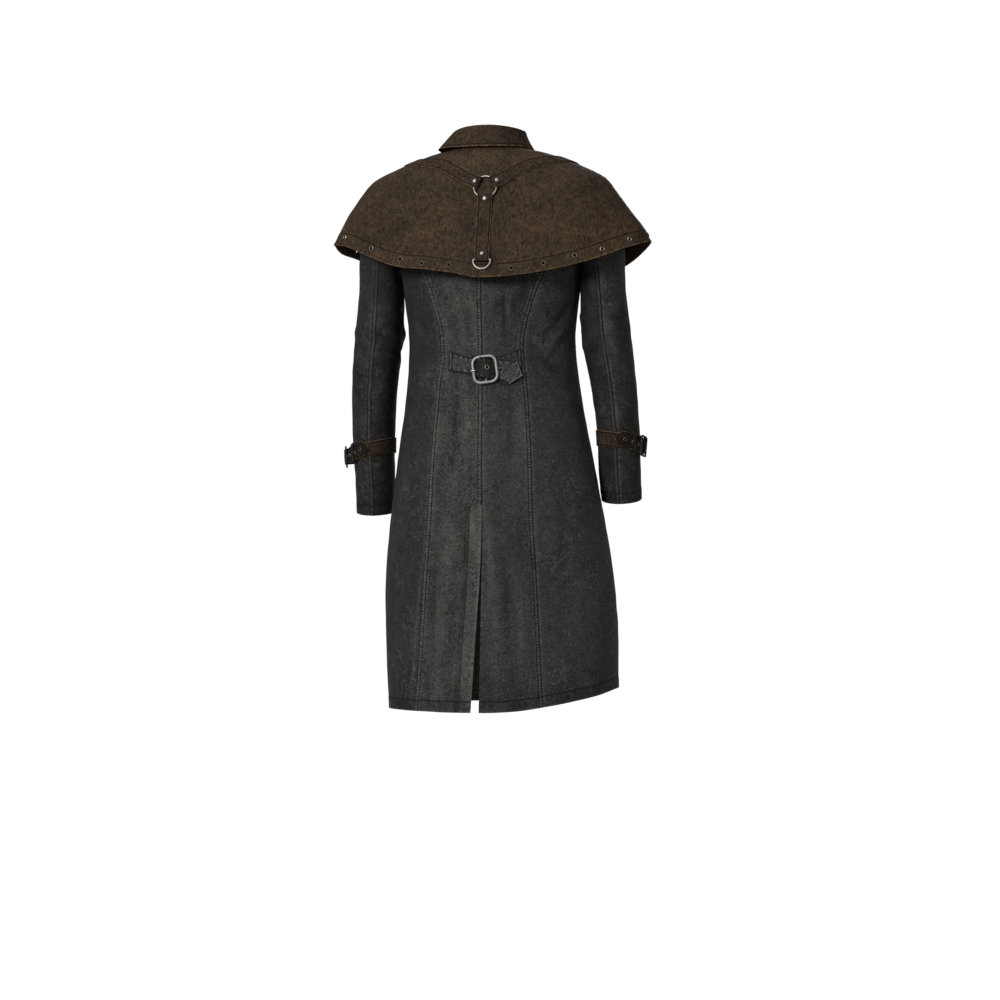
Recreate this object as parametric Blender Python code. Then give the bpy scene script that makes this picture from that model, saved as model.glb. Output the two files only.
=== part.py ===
"""A long overcoat with a shoulder cape, as thin cloth walls with their metal fittings."""
import math
from collections import namedtuple

import bmesh
import bpy
import numpy as np
from mathutils import Vector

# Sizes in millimetres. +Z is up, the wearer faces -Y and the wearer's left is +X.
MM = 0.001
COAT_WALL = 2.0
CAPE_WALL = 1.8
STRAP_WALL = 1.6
SEAM_GAP = 0.3
LAID_ON = 0.6
HEM_RISE = 40.0
FRONT_OVERLAP = 26.0
UNDERLAP_DROP = 2.7

# Rings of the coat's body, from the neckline to the hem. left and right are half widths, back and
# front are depths, flat fills out the back and front. seam is the half distance between the side
# back seams, centre is where the centre back seam lies and vent how far its two edges stand apart.
Ring = namedtuple("Ring", "left right back front flat side_z back_z front_z seam centre vent")
BODY = (
    Ring(75.4, 75.4, 80.2, 48.6, 0.00, 14.6, 22.4, -37.9, 300, 0, 0),
    Ring(112, 112, 98, 76, 0.04, -5, -22, -74, 280, 0, 0),
    Ring(164, 164, 112, 100, 0.10, -20, -66, -106, 245, 0, 0),
    Ring(212, 212, 121, 115, 0.16, -46, -112, -140, 208, 0, 0),
    Ring(216, 216, 124, 122, 0.20, -120, -160, -176, 164, 0, 0),
    Ring(181, 181, 123, 123, 0.20, -214, -214, -214, 126, 0, 0),
    Ring(171, 171, 122, 121, 0.18, -273, -273, -273, 102, -1, 0),
    Ring(162, 164, 118, 117, 0.14, -361, -361, -361, 81, -2, 0),
    Ring(169, 177, 124, 121, 0.12, -468, -468, -468, 90, -4, 0),
    Ring(185, 199, 137, 128, 0.10, -585, -585, -585, 98, -5, 0),
    Ring(199, 221, 147, 137, 0.08, -702, -702, -702, 104, -7, 1),
    Ring(208, 238, 155, 147, 0.06, -819, -819, -819, 112, -5, 3),
    Ring(206, 247, 163, 156, 0.05, -936, -936, -936, 119, -1, 9),
    Ring(199, 248, 171, 166, 0.05, -1066, -1066, -1066, 127, 3, 15),
)
SHOULDER_TIP, ARMPIT, HEM = 3.0, 5.0, 13.0
SIDE_BACK_TOP = 3.5
ARMHOLE_BACK, ARMHOLE_FRONT = 33.0, 37.0

# Hanging folds of the skirt: where round the body, how wide, how deep, and the heights where each
# starts and is full.
Fold = namedtuple("Fold", "angle width depth top full")
SKIRT_FOLDS = (
    Fold(73, 8, 3.5, -420, -900),
    Fold(60, 7, -3.0, -480, -1000),
    Fold(24, 12, 5.0, -560, -1040),
    Fold(107, 8, 4.0, -410, -860),
    Fold(120, 7, -3.5, -470, -980),
    Fold(150, 11, 5.0, -600, -1040),
    Fold(-28, 12, -5.0, -520, -1040),
    Fold(-52, 9, 4.0, -560, -1040),
    Fold(206, 12, -5.0, -540, -1040),
    Fold(232, 9, 4.0, -600, -1040),
)

# Sections down each sleeve, from under the arm to the cuff: centre, half width and half depth.
Section = namedtuple("Section", "z x y wide deep")
SLEEVE = {
    "left": (
        Section(-262, 219, 3, 44.0, 60),
        Section(-351, 226, -5, 47.5, 56),
        Section(-429, 236, -14, 45.0, 52),
        Section(-526, 243, -34, 42.0, 49),
        Section(-610, 246, -57, 39.5, 46),
        Section(-689, 248, -79, 38.4, 44),
    ),
    "right": (
        Section(-262, 219, 3, 44.0, 60),
        Section(-351, 225, -5, 48.5, 56),
        Section(-429, 236, -12, 45.0, 52),
        Section(-526, 245, -24, 41.5, 49),
        Section(-605, 246, -36, 41.0, 46),
        Section(-667, 249, -46, 39.0, 44),
    ),
}
# How the sleeve leaves the armhole, over the shoulder and under the arm, and where its seams run.
SLEEVE_OUT, SLEEVE_UNDER = (0.80, 0.0, -0.60), (0.45, 0.0, -0.90)
SLEEVE_CLEAR, SLEEVE_HEAD_CLEAR = 0.9, 1.8
BACK_SEAM, FRONT_SEAM = 86.0, -112.0

# Rings of the cape from the neck to its hem, with the same columns as far as they go.
CapeRing = namedtuple("CapeRing", "left right back front flat side_z back_z front_z")
CAPE = (
    CapeRing(76, 76, 82, 50, 0.00, 17, 24, -36),
    CapeRing(121, 121, 106, 82, 0.02, 7, -10, -60),
    CapeRing(180, 180, 120, 107, 0.05, -16, -60, -96),
    CapeRing(225, 223, 133, 125, 0.08, -39, -106, -136),
    CapeRing(247, 242, 141, 135, 0.10, -62, -140, -166),
    CapeRing(262, 257, 148, 143, 0.10, -86, -167, -190),
    CapeRing(280, 277, 154, 150, 0.08, -118, -194, -215),
    CapeRing(297, 298, 159, 156, 0.06, -150, -219, -239),
    CapeRing(308, 310, 163, 161, 0.05, -177, -241, -262),
)
CAPE_FOLDS = (
    Fold(14, 9, 5.0, -60, -180),
    Fold(33, 9, -4.0, -80, -200),
    Fold(56, 8, 3.5, -110, -240),
    Fold(128, 9, 4.0, -110, -240),
    Fold(150, 9, -4.0, -80, -200),
    Fold(168, 9, 5.0, -60, -180),
    Fold(-36, 10, 5.0, -90, -240),
    Fold(216, 10, 5.0, -90, -240),
)
CAPE_OPEN_NECK, CAPE_OPEN_HEM = 5.0, 32.0

# Rings of the collar: a stand round the neck and a fall turned down over it.
CollarRing = namedtuple("CollarRing", "left right back front flat side_z back_z front_z")
STAND = (
    CollarRing(67, 65, 77, 42, 0, 50, 55, -4),
    CollarRing(70, 69, 79, 45, 0, 34, 40, -20),
    CollarRing(75.5, 75.5, 81.6, 49.5, 0, 17.4, 24.4, -35.6),
)
FALL = (
    CollarRing(69, 67, 79, 44, 0, 51.6, 56.7, -2.4),
    CollarRing(77, 73, 85, 52, 0, 44, 49, -10),
    CollarRing(87, 81, 93, 61, 0, 31, 32, -25),
    CollarRing(96, 89, 101, 69, 0, 19.5, 15.5, -40),
    CollarRing(101, 94, 106, 84, 0, 10, 4, -52),
)
COLLAR_OPEN, COLLAR_COLUMNS = 8.0, 24
COLLAR_POINT_FROM, COLLAR_POINT = -20.0, -68.0

# Routes on the cape: angle round it and ring number, from the ring at the centre back.
Route = namedtuple("Route", "angle ring")
STRAP_LEFT = (
    Route(86.3, 1.98),
    Route(72, 1.58),
    Route(54, 1.34),
    Route(28, 1.45),
    Route(0, 1.62),
    Route(-28, 2.05),
    Route(-50, 2.9),
)
STRAP_RIGHT = (
    Route(99.1, 2.00),
    Route(113, 1.64),
    Route(130, 1.44),
    Route(154, 1.44),
    Route(180, 1.56),
    Route(208, 2.05),
    Route(230, 2.9),
)
STRAP_CENTRE = (
    Route(92.7, 2.64),
    Route(92.2, 4.0),
    Route(91.9, 5.3),
    Route(91.8, 6.55),
)
RING_AT = Route(92.8, 2.16)
SHOULDER_STRAP, CENTRE_STRAP = 25.0, 28.0
RING_ACROSS, RING_WIRE = 47.0, 3.4
D_INSIDE, D_DROP, D_WIRE = 29.4, 16.0, 3.6
D_LEAN = 5.0
WIRE_CLEAR = 0.8
FOLD_UNDER = 24.0
RIVET_ACROSS, RIVET_HIGH = 9.3, 1.8

# The back belt: places across the back and heights of its middle line, from the buckle outwards.
Place = namedtuple("Place", "x z")
BELT_LEFT = (Place(77, -394), Place(34, -406), Place(-9, -413), Place(-44, -418), Place(-77, -428))
BELT_RIGHT = (Place(-9, -413), Place(-46, -405), Place(-82, -391))
BELT_WIDE, BELT_TIP = 37.0, 17.0
BUCKLE_WIDE, BUCKLE_HIGH = 53.0, 58.0
BUCKLE_BAR, BUCKLE_CORNER, BUCKLE_TURN = 6.0, 12.0, 4.0
BUCKLE_OFF, CENTRE_BAR, PRONG = 8.0, 4.4, 3.2

# Sleeve straps: a band round the sleeve, with a tab through a buckle and a keeper over it.
SleeveStrap = namedtuple("SleeveStrap", "z tilt")
SLEEVE_STRAPS = {"left": SleeveStrap(-562, 9.0), "right": SleeveStrap(-546, 5.0)}
BAND_WIDE, TAB_WIDE, KEEPER_WIDE = 29.0, 29.0, 7.5
TAB_FROM, TAB_BUCKLE, TAB_KEEPER, TAB_TO = -52.0, 6.0, 42.0, 88.0
CUFF_BUCKLE_WIDE, CUFF_BUCKLE_HIGH, CUFF_BUCKLE_BAR = 32.0, 41.0, 4.0
CUFF_BUCKLE_OFF, CUFF_BUCKLE_CORNER = 7.8, 4.0
BAND_OFF = 1.0

BUTTON_ACROSS, BUTTON_THICK = 24.0, 4.0
BUTTON_HEIGHTS = (-300, -395, -490, -585, -680)

# Colour, roughness and metallic value of each kind of piece.
Finish = namedtuple("Finish", "colour roughness metallic")
FINISHES = {
    "coat_cloth": Finish((0.033, 0.032, 0.030), 0.85, 0.0),
    "cape_cloth": Finish((0.050, 0.033, 0.020), 0.85, 0.0),
    "strap_cloth": Finish((0.045, 0.029, 0.018), 0.80, 0.0),
    "steel": Finish((0.60, 0.59, 0.57), 0.28, 1.0),
    "horn": Finish((0.018, 0.016, 0.015), 0.45, 0.0),
}


def rows_at(rows, number):
    # The columns of a table between its rows, passing smoothly through each row.
    rows = np.asarray(rows, float)
    last = len(rows) - 1
    number = np.clip(np.asarray(number, float), 0.0, last)
    first = np.minimum(number.astype(int), last - 1)
    part = (number - first)[..., None]
    here, after = rows[first], rows[first + 1]
    before = np.where(first[..., None] > 0, rows[np.maximum(first - 1, 0)], 2 * here - after)
    beyond = np.where(
        first[..., None] < last - 1, rows[np.minimum(first + 2, last)], 2 * after - here
    )
    slope, next_slope = (after - before) / 2, (beyond - here) / 2
    square, cube = part**2, part**3
    return (
        here * (2 * cube - 3 * square + 1)
        + slope * (cube - 2 * square + part)
        + after * (3 * square - 2 * cube)
        + next_slope * (cube - square)
    )


def smooth(low, high, value):
    part = np.clip((np.asarray(value, float) - low) / (high - low), 0.0, 1.0)
    return part * part * (3 - 2 * part)


def ring_point(rows, angle, number):
    # A point on a ring, with the angle in degrees from the wearer's left towards the back.
    angle, number = np.broadcast_arrays(np.asarray(angle, float), np.asarray(number, float))
    columns = rows_at(rows, number)
    left, right, back, front, flat, side_z, back_z, front_z = np.moveaxis(columns[..., :8], -1, 0)
    across, along = np.cos(np.radians(angle)), np.sin(np.radians(angle))
    x = np.where(across >= 0, left, right) * across
    y = np.where(along >= 0, back, front) * along * (1 + flat * across**2)
    z = side_z + (np.where(along >= 0, back_z, front_z) - side_z) * along**2
    return np.stack([x, y, z], axis=-1)


def with_folds(points, angle, folds):
    # Soft folds push the wall out or in, more towards the hem.
    angle = np.broadcast_to(np.asarray(angle, float), points.shape[:-1])
    push = np.zeros(points.shape[:-1])
    for fold in folds:
        turn = (angle - fold.angle + 180) % 360 - 180
        push = push + fold.depth * np.exp(-((turn / fold.width) ** 2)) * smooth(
            -fold.top, -fold.full, -points[..., 2]
        )
    outwards = points[..., :2] / np.linalg.norm(points[..., :2], axis=-1, keepdims=True)
    moved = points.copy()
    moved[..., :2] += outwards * push[..., None]
    return moved


def body_point(angle, number):
    points = with_folds(ring_point(BODY, angle, number), angle, SKIRT_FOLDS)
    right_side = np.maximum(0.0, -np.cos(np.radians(angle))) ** 2
    points[..., 2] += HEM_RISE * right_side * smooth(640, 1066, -points[..., 2])
    return points


def cape_point(angle, number):
    return with_folds(ring_point(CAPE, angle, number), angle, CAPE_FOLDS)


def stand_point(angle, number):
    return ring_point(STAND, angle, number)


def fall_point(angle, number):
    return ring_point(FALL, angle, number)


def armhole_angle(number, most):
    part = np.clip((np.asarray(number, float) - SHOULDER_TIP) / (ARMPIT - SHOULDER_TIP), 0.0, 1.0)
    return most * np.sin(math.pi * part) ** 0.6


def armhole_point(turn):
    # Round the left armhole: 0 at the shoulder tip, 90 at the back, 180 under the arm.
    turn = (np.asarray(turn, float) + 180) % 360 - 180
    part = np.abs(turn) / 180
    number = SHOULDER_TIP + part * (ARMPIT - SHOULDER_TIP)
    angle = np.where(
        turn >= 0, armhole_angle(number, ARMHOLE_BACK), -armhole_angle(number, ARMHOLE_FRONT)
    )
    return body_point(angle, number)


def sleeve_point(side):
    rows = np.asarray(SLEEVE[side], float)

    # number 0 to 1 runs from the armhole to the first section, and then down the sections.
    def point(turn, number):
        turn, number = np.broadcast_arrays(np.asarray(turn, float), np.asarray(number, float))
        section = rows_at(rows, number - 1)
        across, along = np.cos(np.radians(turn)), np.sin(np.radians(turn))
        tube = np.stack(
            [
                section[..., 1] + section[..., 3] * across,
                section[..., 2] + section[..., 4] * along,
                section[..., 0],
            ],
            axis=-1,
        )
        under = ((1 - across) / 2)[..., None] ** 2
        out = np.asarray(SLEEVE_OUT) * (1 - under) + np.asarray(SLEEVE_UNDER) * under
        over = ((1 + across) / 2)[..., None] ** 3
        start = armhole_point(turn) + (SLEEVE_CLEAR + SLEEVE_HEAD_CLEAR * over) * out
        length = np.linalg.norm(tube - start, axis=-1, keepdims=True)
        part = np.clip(number, 0, 1)[..., None]
        square, cube = part**2, part**3
        down = np.array([0.06, -0.05, -1.0])
        head = (
            start * (2 * cube - 3 * square + 1)
            + out * length * (cube - 2 * square + part)
            + tube * (3 * square - 2 * cube)
            + down * length * (cube - square)
        )
        points = np.where((number < 1)[..., None], head, tube)
        return points * np.array([1.0 if side == "left" else -1.0, 1.0, 1.0])

    return point


def normals(surface, angle, number):
    # The outward direction of a wall, worked out from its surface on either side.
    step, rise = 0.25, 0.02
    round_it = surface(angle + step, number) - surface(angle - step, number)
    down_it = surface(angle, number + rise) - surface(angle, number - rise)
    found = np.cross(down_it, round_it)
    return found / np.linalg.norm(found, axis=-1, keepdims=True)


def finish(name, kind):
    material = bpy.data.materials.new(name + "_" + kind)
    material.use_nodes = True
    shader = material.node_tree.nodes["Principled BSDF"]
    shader.inputs["Base Color"].default_value = (*FINISHES[kind].colour, 1.0)
    shader.inputs["Roughness"].default_value = FINISHES[kind].roughness
    shader.inputs["Metallic"].default_value = FINISHES[kind].metallic
    return material


def add_solid(name, points, faces, kind, crease=35.0):
    mesh = bpy.data.meshes.new(name)
    mesh.from_pydata([tuple(MM * value for value in point) for point in points], [], faces)
    work = bmesh.new()
    work.from_mesh(mesh)
    bmesh.ops.recalc_face_normals(work, faces=work.faces)
    work.to_mesh(mesh)
    work.free()
    solid = bpy.data.objects.new(name, mesh)
    garment.objects.link(solid)
    solid.data.materials.append(finish(name, kind))
    solid.data.shade_smooth()
    solid.data.set_sharp_from_angle(angle=math.radians(crease))
    return solid


def grid_solid(name, outer, inner, kind, closed=False):
    # A wall between two grids of points, closed along its edges, or a tube if it is closed round.
    rows, columns = outer.shape[:2]
    points = np.concatenate([outer.reshape(-1, 3), inner.reshape(-1, 3)])
    half = rows * columns
    spans = columns if closed else columns - 1
    faces = []
    for row in range(rows - 1):
        for column in range(spans):
            beside = (column + 1) % columns
            corners = [
                row * columns + column,
                row * columns + beside,
                (row + 1) * columns + beside,
                (row + 1) * columns + column,
            ]
            faces.append(corners)
            faces.append([half + corner for corner in reversed(corners)])
    for row in (0, rows - 1):
        for column in range(spans):
            one, two = row * columns + column, row * columns + (column + 1) % columns
            faces.append([one, half + one, half + two, two])
    if not closed:
        for column in (0, columns - 1):
            for row in range(rows - 1):
                one, two = row * columns + column, (row + 1) * columns + column
                faces.append([one, two, half + two, half + one])
    return add_solid(name, points, faces, kind)


def cloth(name, surface, numbers, edges, columns, wall, kind, lift=None):
    # A panel between two seam lines. edges gives the angles of both at each row.
    numbers = np.asarray(numbers, float)
    start, end = (np.asarray(edge, float) for edge in edges(numbers))
    trims = []
    for edge in (start, end):
        width = np.linalg.norm(surface(edge + 0.5, numbers) - surface(edge - 0.5, numbers), axis=-1)
        trims.append(SEAM_GAP / 2 / width)
    inwards = np.sign(end - start)
    start, end = start + inwards * trims[0], end - inwards * trims[1]
    angle = start[:, None] + (end - start)[:, None] * np.linspace(0, 1, columns + 1)
    number = np.broadcast_to(numbers[:, None], angle.shape)
    points, outwards = surface(angle, number), normals(surface, angle, number)
    if lift is not None:
        points = points + outwards * lift(points)[..., None]
    return grid_solid(name, points, points - wall * outwards, kind)


def side_angle(number, x):
    # The angle at which a ring reaches a place across the body.
    columns = rows_at(BODY, number)
    return np.degrees(np.arccos(np.clip(np.asarray(x) / np.where(
        np.asarray(x) >= 0, columns[..., 0], columns[..., 1]), -1, 1)))


def build_body():
    back_rows = [0, 0.7, 1.4, 2.2, 3, 3.1, 3.25, 3.5, 4, 4.5, 4.85, 5, 5.5, 6, 6.5]
    back_rows += [6.8, 7.1, 7.4, 7.8, 8.4, 9, 9.75, 10.5, 11.3, 12.1, HEM]
    side_rows = [row for row in back_rows if row >= SIDE_BACK_TOP]
    front_rows = [0, 0.7, 1.4, 2.2, 3, 3.1, 3.27, 3.51, 3.76, 4, 4.24, 4.6, 4.85, 5]
    front_rows += [5.6, 6.4, 7.2, 8, 8.9, 9.8, 10.8, 11.9, HEM]

    def seam_angles(number, side):
        half = rows_at(BODY, number)[..., 0 if side > 0 else 1]
        chord = rows_at(BODY, number)[..., 8]
        return np.degrees(np.arccos(np.clip(chord / half, -1, 1)))

    def armhole(number, most):
        inside = (number > SHOULDER_TIP) & (number < ARMPIT)
        return np.where(inside, armhole_angle(number, most), 0.0)

    def back_edges(side):
        def edges(number):
            columns = rows_at(BODY, number)
            middle = side_angle(number, columns[..., 9] + side * columns[..., 10] / 2)
            outer = np.where(
                number < SIDE_BACK_TOP, armhole(number, ARMHOLE_BACK), seam_angles(number, side)
            )
            return middle, outer if side > 0 else 180 - outer

        return edges

    def side_back_edges(side):
        def edges(number):
            inner, outer = seam_angles(number, side), armhole(number, ARMHOLE_BACK)
            return (inner, outer) if side > 0 else (180 - inner, 180 - outer)

        return edges

    def front_edges(side):
        def edges(number):
            outer = -armhole(number, ARMHOLE_FRONT)
            past = rows_at(BODY, number)[..., 1 if side > 0 else 0]
            middle = -90 - np.degrees(np.arcsin(FRONT_OVERLAP / past))
            return (outer, middle) if side > 0 else (180 - outer, 180 - middle)

        return edges

    def under_lap(points):
        return -UNDERLAP_DROP * smooth(-80, -38, points[..., 0])

    for side, word in ((1, "left"), (-1, "right")):
        cloth("back_" + word, body_point, back_rows, back_edges(side), 6, COAT_WALL, "coat_cloth")
        cloth(
            "side_back_" + word, body_point, side_rows, side_back_edges(side), 7, COAT_WALL,
            "coat_cloth",
        )
        cloth(
            "front_" + word, body_point, front_rows, front_edges(side), 9, COAT_WALL,
            "coat_cloth", lift=under_lap if side < 0 else None,
        )


def build_sleeves():
    numbers = [0, 0.14, 0.32, 0.55, 0.78, 1, 1.5, 2, 2.5, 3, 3.5, 4, 4.5, 5, 6]
    for word in ("left", "right"):
        surface = sleeve_point(word)

        for name, start, end, columns in (
            ("topsleeve_", FRONT_SEAM, BACK_SEAM, 9),
            ("undersleeve_", BACK_SEAM, FRONT_SEAM + 360, 7),
        ):
            def edges(number, start=start, end=end):
                return np.full(number.shape, start), np.full(number.shape, end)

            sleeve_wall(name + word, surface, numbers, edges, columns, word)


def sleeve_normals(surface, word):
    turn_sign = 1 if word == "left" else -1

    def found(angle, number):
        return turn_sign * normals(surface, angle, number)

    return found


def sleeve_wall(name, surface, numbers, edges, columns, word):
    numbers = np.asarray(numbers, float)
    start, end = edges(numbers)
    width = np.linalg.norm(surface(start + 0.5, numbers) - surface(start - 0.5, numbers), axis=-1)
    start = start + SEAM_GAP / 2 / width
    width = np.linalg.norm(surface(end + 0.5, numbers) - surface(end - 0.5, numbers), axis=-1)
    end = end - SEAM_GAP / 2 / width
    turn = start[:, None] + (end - start)[:, None] * np.linspace(0, 1, columns + 1)
    number = np.broadcast_to(numbers[:, None], turn.shape)
    points = surface(turn, number)
    outwards = sleeve_normals(surface, word)(turn, number)
    grid_solid(name, points, points - COAT_WALL * outwards, "coat_cloth")


def build_cape():
    numbers = [0, 0.6, 1.2, 1.8, 2.4, 3, 3.8, 4.6, 5.5, 6.7, 8]

    def back_edges(number):
        return np.full(number.shape, 180.0), np.full(number.shape, 0.0)

    def front_edges(side):
        def edges(number):
            half = CAPE_OPEN_NECK + (CAPE_OPEN_HEM - CAPE_OPEN_NECK) * number / 8
            reach = rows_at(CAPE, number)[..., 0 if side > 0 else 1]
            middle = -90 + np.degrees(np.arcsin(half / reach))
            none = np.zeros(number.shape)
            return (none, middle) if side > 0 else (180 - none, 180 - middle)

        return edges

    cloth("cape_back", cape_point, numbers, back_edges, 26, CAPE_WALL, "cape_cloth")
    cloth("cape_front_left", cape_point, numbers, front_edges(1), 12, CAPE_WALL, "cape_cloth")
    cloth("cape_front_right", cape_point, numbers, front_edges(-1), 12, CAPE_WALL, "cape_cloth")


def build_collar():
    def stand_edges(number):
        none = np.zeros(number.shape)
        return none - 90 + COLLAR_OPEN, none + 270 - COLLAR_OPEN

    cloth("collar_stand", stand_point, [0, 1, 2], stand_edges, COLLAR_COLUMNS, CAPE_WALL,
          "cape_cloth")
    angle = np.linspace(-90 + COLLAR_OPEN, 270 - COLLAR_OPEN, COLLAR_COLUMNS + 1)[1:-1]
    off_back = np.minimum(angle, 180 - angle)
    reach = 3 + smooth(-COLLAR_POINT_FROM, -COLLAR_POINT, -off_back)
    part = np.array([0, 0.25, 0.5, 0.75, 1])
    number = part[:, None] * reach
    angle = np.broadcast_to(angle, number.shape)
    points, outwards = fall_point(angle, number), normals(fall_point, angle, number)
    grid_solid("collar_fall", points, points - CAPE_WALL * outwards, "cape_cloth")


class Lane:
    # A strip's way over a wall: distance along it, across it and off it, in millimetres.
    def __init__(self, surface, route, outwards=None):
        self.surface = surface
        self.outwards = outwards or (lambda angle, number: normals(surface, angle, number))
        count = 160
        rows = rows_at(route, np.linspace(0, len(route) - 1, count))
        self.route = rows
        points = surface(rows[:, 0], rows[:, 1])
        steps = np.linalg.norm(np.diff(points, axis=0), axis=1)
        self.at = np.concatenate([[0], np.cumsum(steps)])
        self.length = self.at[-1]

    def place(self, along):
        # Past either end, the way goes on in a straight line.
        ends = np.clip(along, 0, self.length)
        found = [np.interp(ends, self.at, self.route[:, k]) for k in range(2)]
        first = (self.route[1] - self.route[0]) / self.at[1]
        last = (self.route[-1] - self.route[-2]) / (self.at[-1] - self.at[-2])
        over, under = max(0.0, along - self.length), min(0.0, along)
        return [found[k] + over * last[k] + under * first[k] for k in range(2)]

    def frame(self, along):
        angle, number = self.place(along)
        ahead, behind = self.place(along + 1.5), self.place(along - 1.5)
        forward = self.surface(*ahead) - self.surface(*behind)
        off = self.outwards(angle, number)
        forward = forward - off * forward.dot(off)
        forward /= np.linalg.norm(forward)
        return self.surface(angle, number), forward, np.cross(off, forward), off

    def point(self, along, across, off):
        angle, number = self.place(along)
        aside = self.frame(along)[2]
        for _ in range(3):
            round_it = (self.surface(angle + 0.2, number) - self.surface(angle - 0.2, number)) / 0.4
            down_it = (self.surface(angle, number + 0.01) - self.surface(angle, number - 0.01)) / 0.02
            both = np.stack([round_it, down_it], axis=1)
            step = np.linalg.lstsq(both, aside * across / 3, rcond=None)[0]
            angle, number = angle + step[0], number + step[1]
        return self.surface(angle, number) + off * self.outwards(angle, number)


def strip(name, lane, middle, across, wall, kind, shift=None, tip=None):
    # A strip of cloth with its middle line given as (along, off), the same at each place across.
    middle = np.asarray(middle, float)
    steps = np.gradient(middle, axis=0)
    steps /= np.linalg.norm(steps, axis=1, keepdims=True)
    beside = np.stack([-steps[:, 1], steps[:, 0]], axis=1)
    sides = []
    for sign in (0.5, -0.5):
        line = middle + sign * wall * beside
        grid = np.zeros((len(line), len(across), 3))
        for row, (along, off) in enumerate(line):
            for column, place in enumerate(across):
                side = place if tip is None else place * tip(middle[row, 0])
                more = (0.0, 0.0) if shift is None else shift(side, middle[row, 0])
                grid[row, column] = lane.point(along + more[0], side, off + more[1])
        sides.append(grid)
    return grid_solid(name, sides[0], sides[1], kind)


def fold_line(wire_off, inside, wall, under, length, run):
    # From the end of the under run, round a wire at 0, and along the top run to the strip's end.
    low = LAID_ON + wall / 2
    radius = inside + wall / 2
    points = [(under, low), (under * 0.6, low), (under * 0.3, max(low, wire_off - radius))]
    for turn in np.linspace(-90, -270, 7):
        points.append(
            (radius * math.cos(math.radians(turn)), wire_off + radius * math.sin(math.radians(turn)))
        )
    second = low + wall + LAID_ON / 2
    points += [(under * 0.36, wire_off + radius * 0.45), (under * 0.66, second + 0.5)]
    points += [(under * 0.95, second), (under * 1.1, second), (under * 1.5, low)]
    points += [(along, low) for along in run if along > under * 1.6]
    points.append((length, low))
    return points


def ring_frame():
    angle, number = RING_AT
    off = normals(cape_point, np.array(angle), np.array(number))
    centre = cape_point(angle, number)
    return centre, off


def tube_solid(name, points, across, kind, cyclic, sides=8):
    # A round wire or rod along a line of points.
    line = bpy.data.curves.new(name, "CURVE")
    line.dimensions = "3D"
    line.bevel_depth = MM * across / 2
    line.bevel_resolution = (sides - 4) // 2
    line.use_fill_caps = not cyclic
    spline = line.splines.new("POLY")
    spline.points.add(len(points) - 1)
    for place, point in zip(spline.points, points):
        place.co = (*(MM * value for value in point), 1.0)
    spline.use_cyclic_u = cyclic
    drawn = bpy.data.objects.new(name + "_line", line)
    bpy.context.scene.collection.objects.link(drawn)
    graph = bpy.context.evaluated_depsgraph_get()
    mesh = bpy.data.meshes.new_from_object(drawn.evaluated_get(graph))
    bpy.data.objects.remove(drawn)
    mesh.name = name
    work = bmesh.new()
    work.from_mesh(mesh)
    bmesh.ops.remove_doubles(work, verts=work.verts, dist=1e-6)
    bmesh.ops.recalc_face_normals(work, faces=work.faces)
    work.to_mesh(mesh)
    work.free()
    solid = bpy.data.objects.new(name, mesh)
    garment.objects.link(solid)
    mesh.materials.clear()
    mesh.materials.append(finish(name, kind))
    mesh.shade_smooth()
    mesh.set_sharp_from_angle(angle=math.radians(50))
    return solid


def turned_solid(name, profile, centre, axis, kind, sides=16):
    # A round piece, from its profile of (radius, height) pairs, standing on its axis.
    turn = Vector((0, 0, 1)).rotation_difference(Vector(axis)).to_matrix()
    points, faces = [], []
    for radius, height in profile:
        for side in range(sides):
            swing = 2 * math.pi * side / sides
            here = Vector((radius * math.cos(swing), radius * math.sin(swing), height))
            points.append(tuple(turn @ here + Vector(centre)))
    for level in range(len(profile) - 1):
        for side in range(sides):
            beside = (side + 1) % sides
            faces.append(
                [
                    level * sides + side,
                    level * sides + beside,
                    (level + 1) * sides + beside,
                    (level + 1) * sides + side,
                ]
            )
    faces.append(list(range(sides)))
    faces.append([(len(profile) - 1) * sides + side for side in range(sides)])
    return add_solid(name, points, faces, kind, crease=50)


def spread(width, count):
    return np.linspace(-width / 2, width / 2, count)


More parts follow.
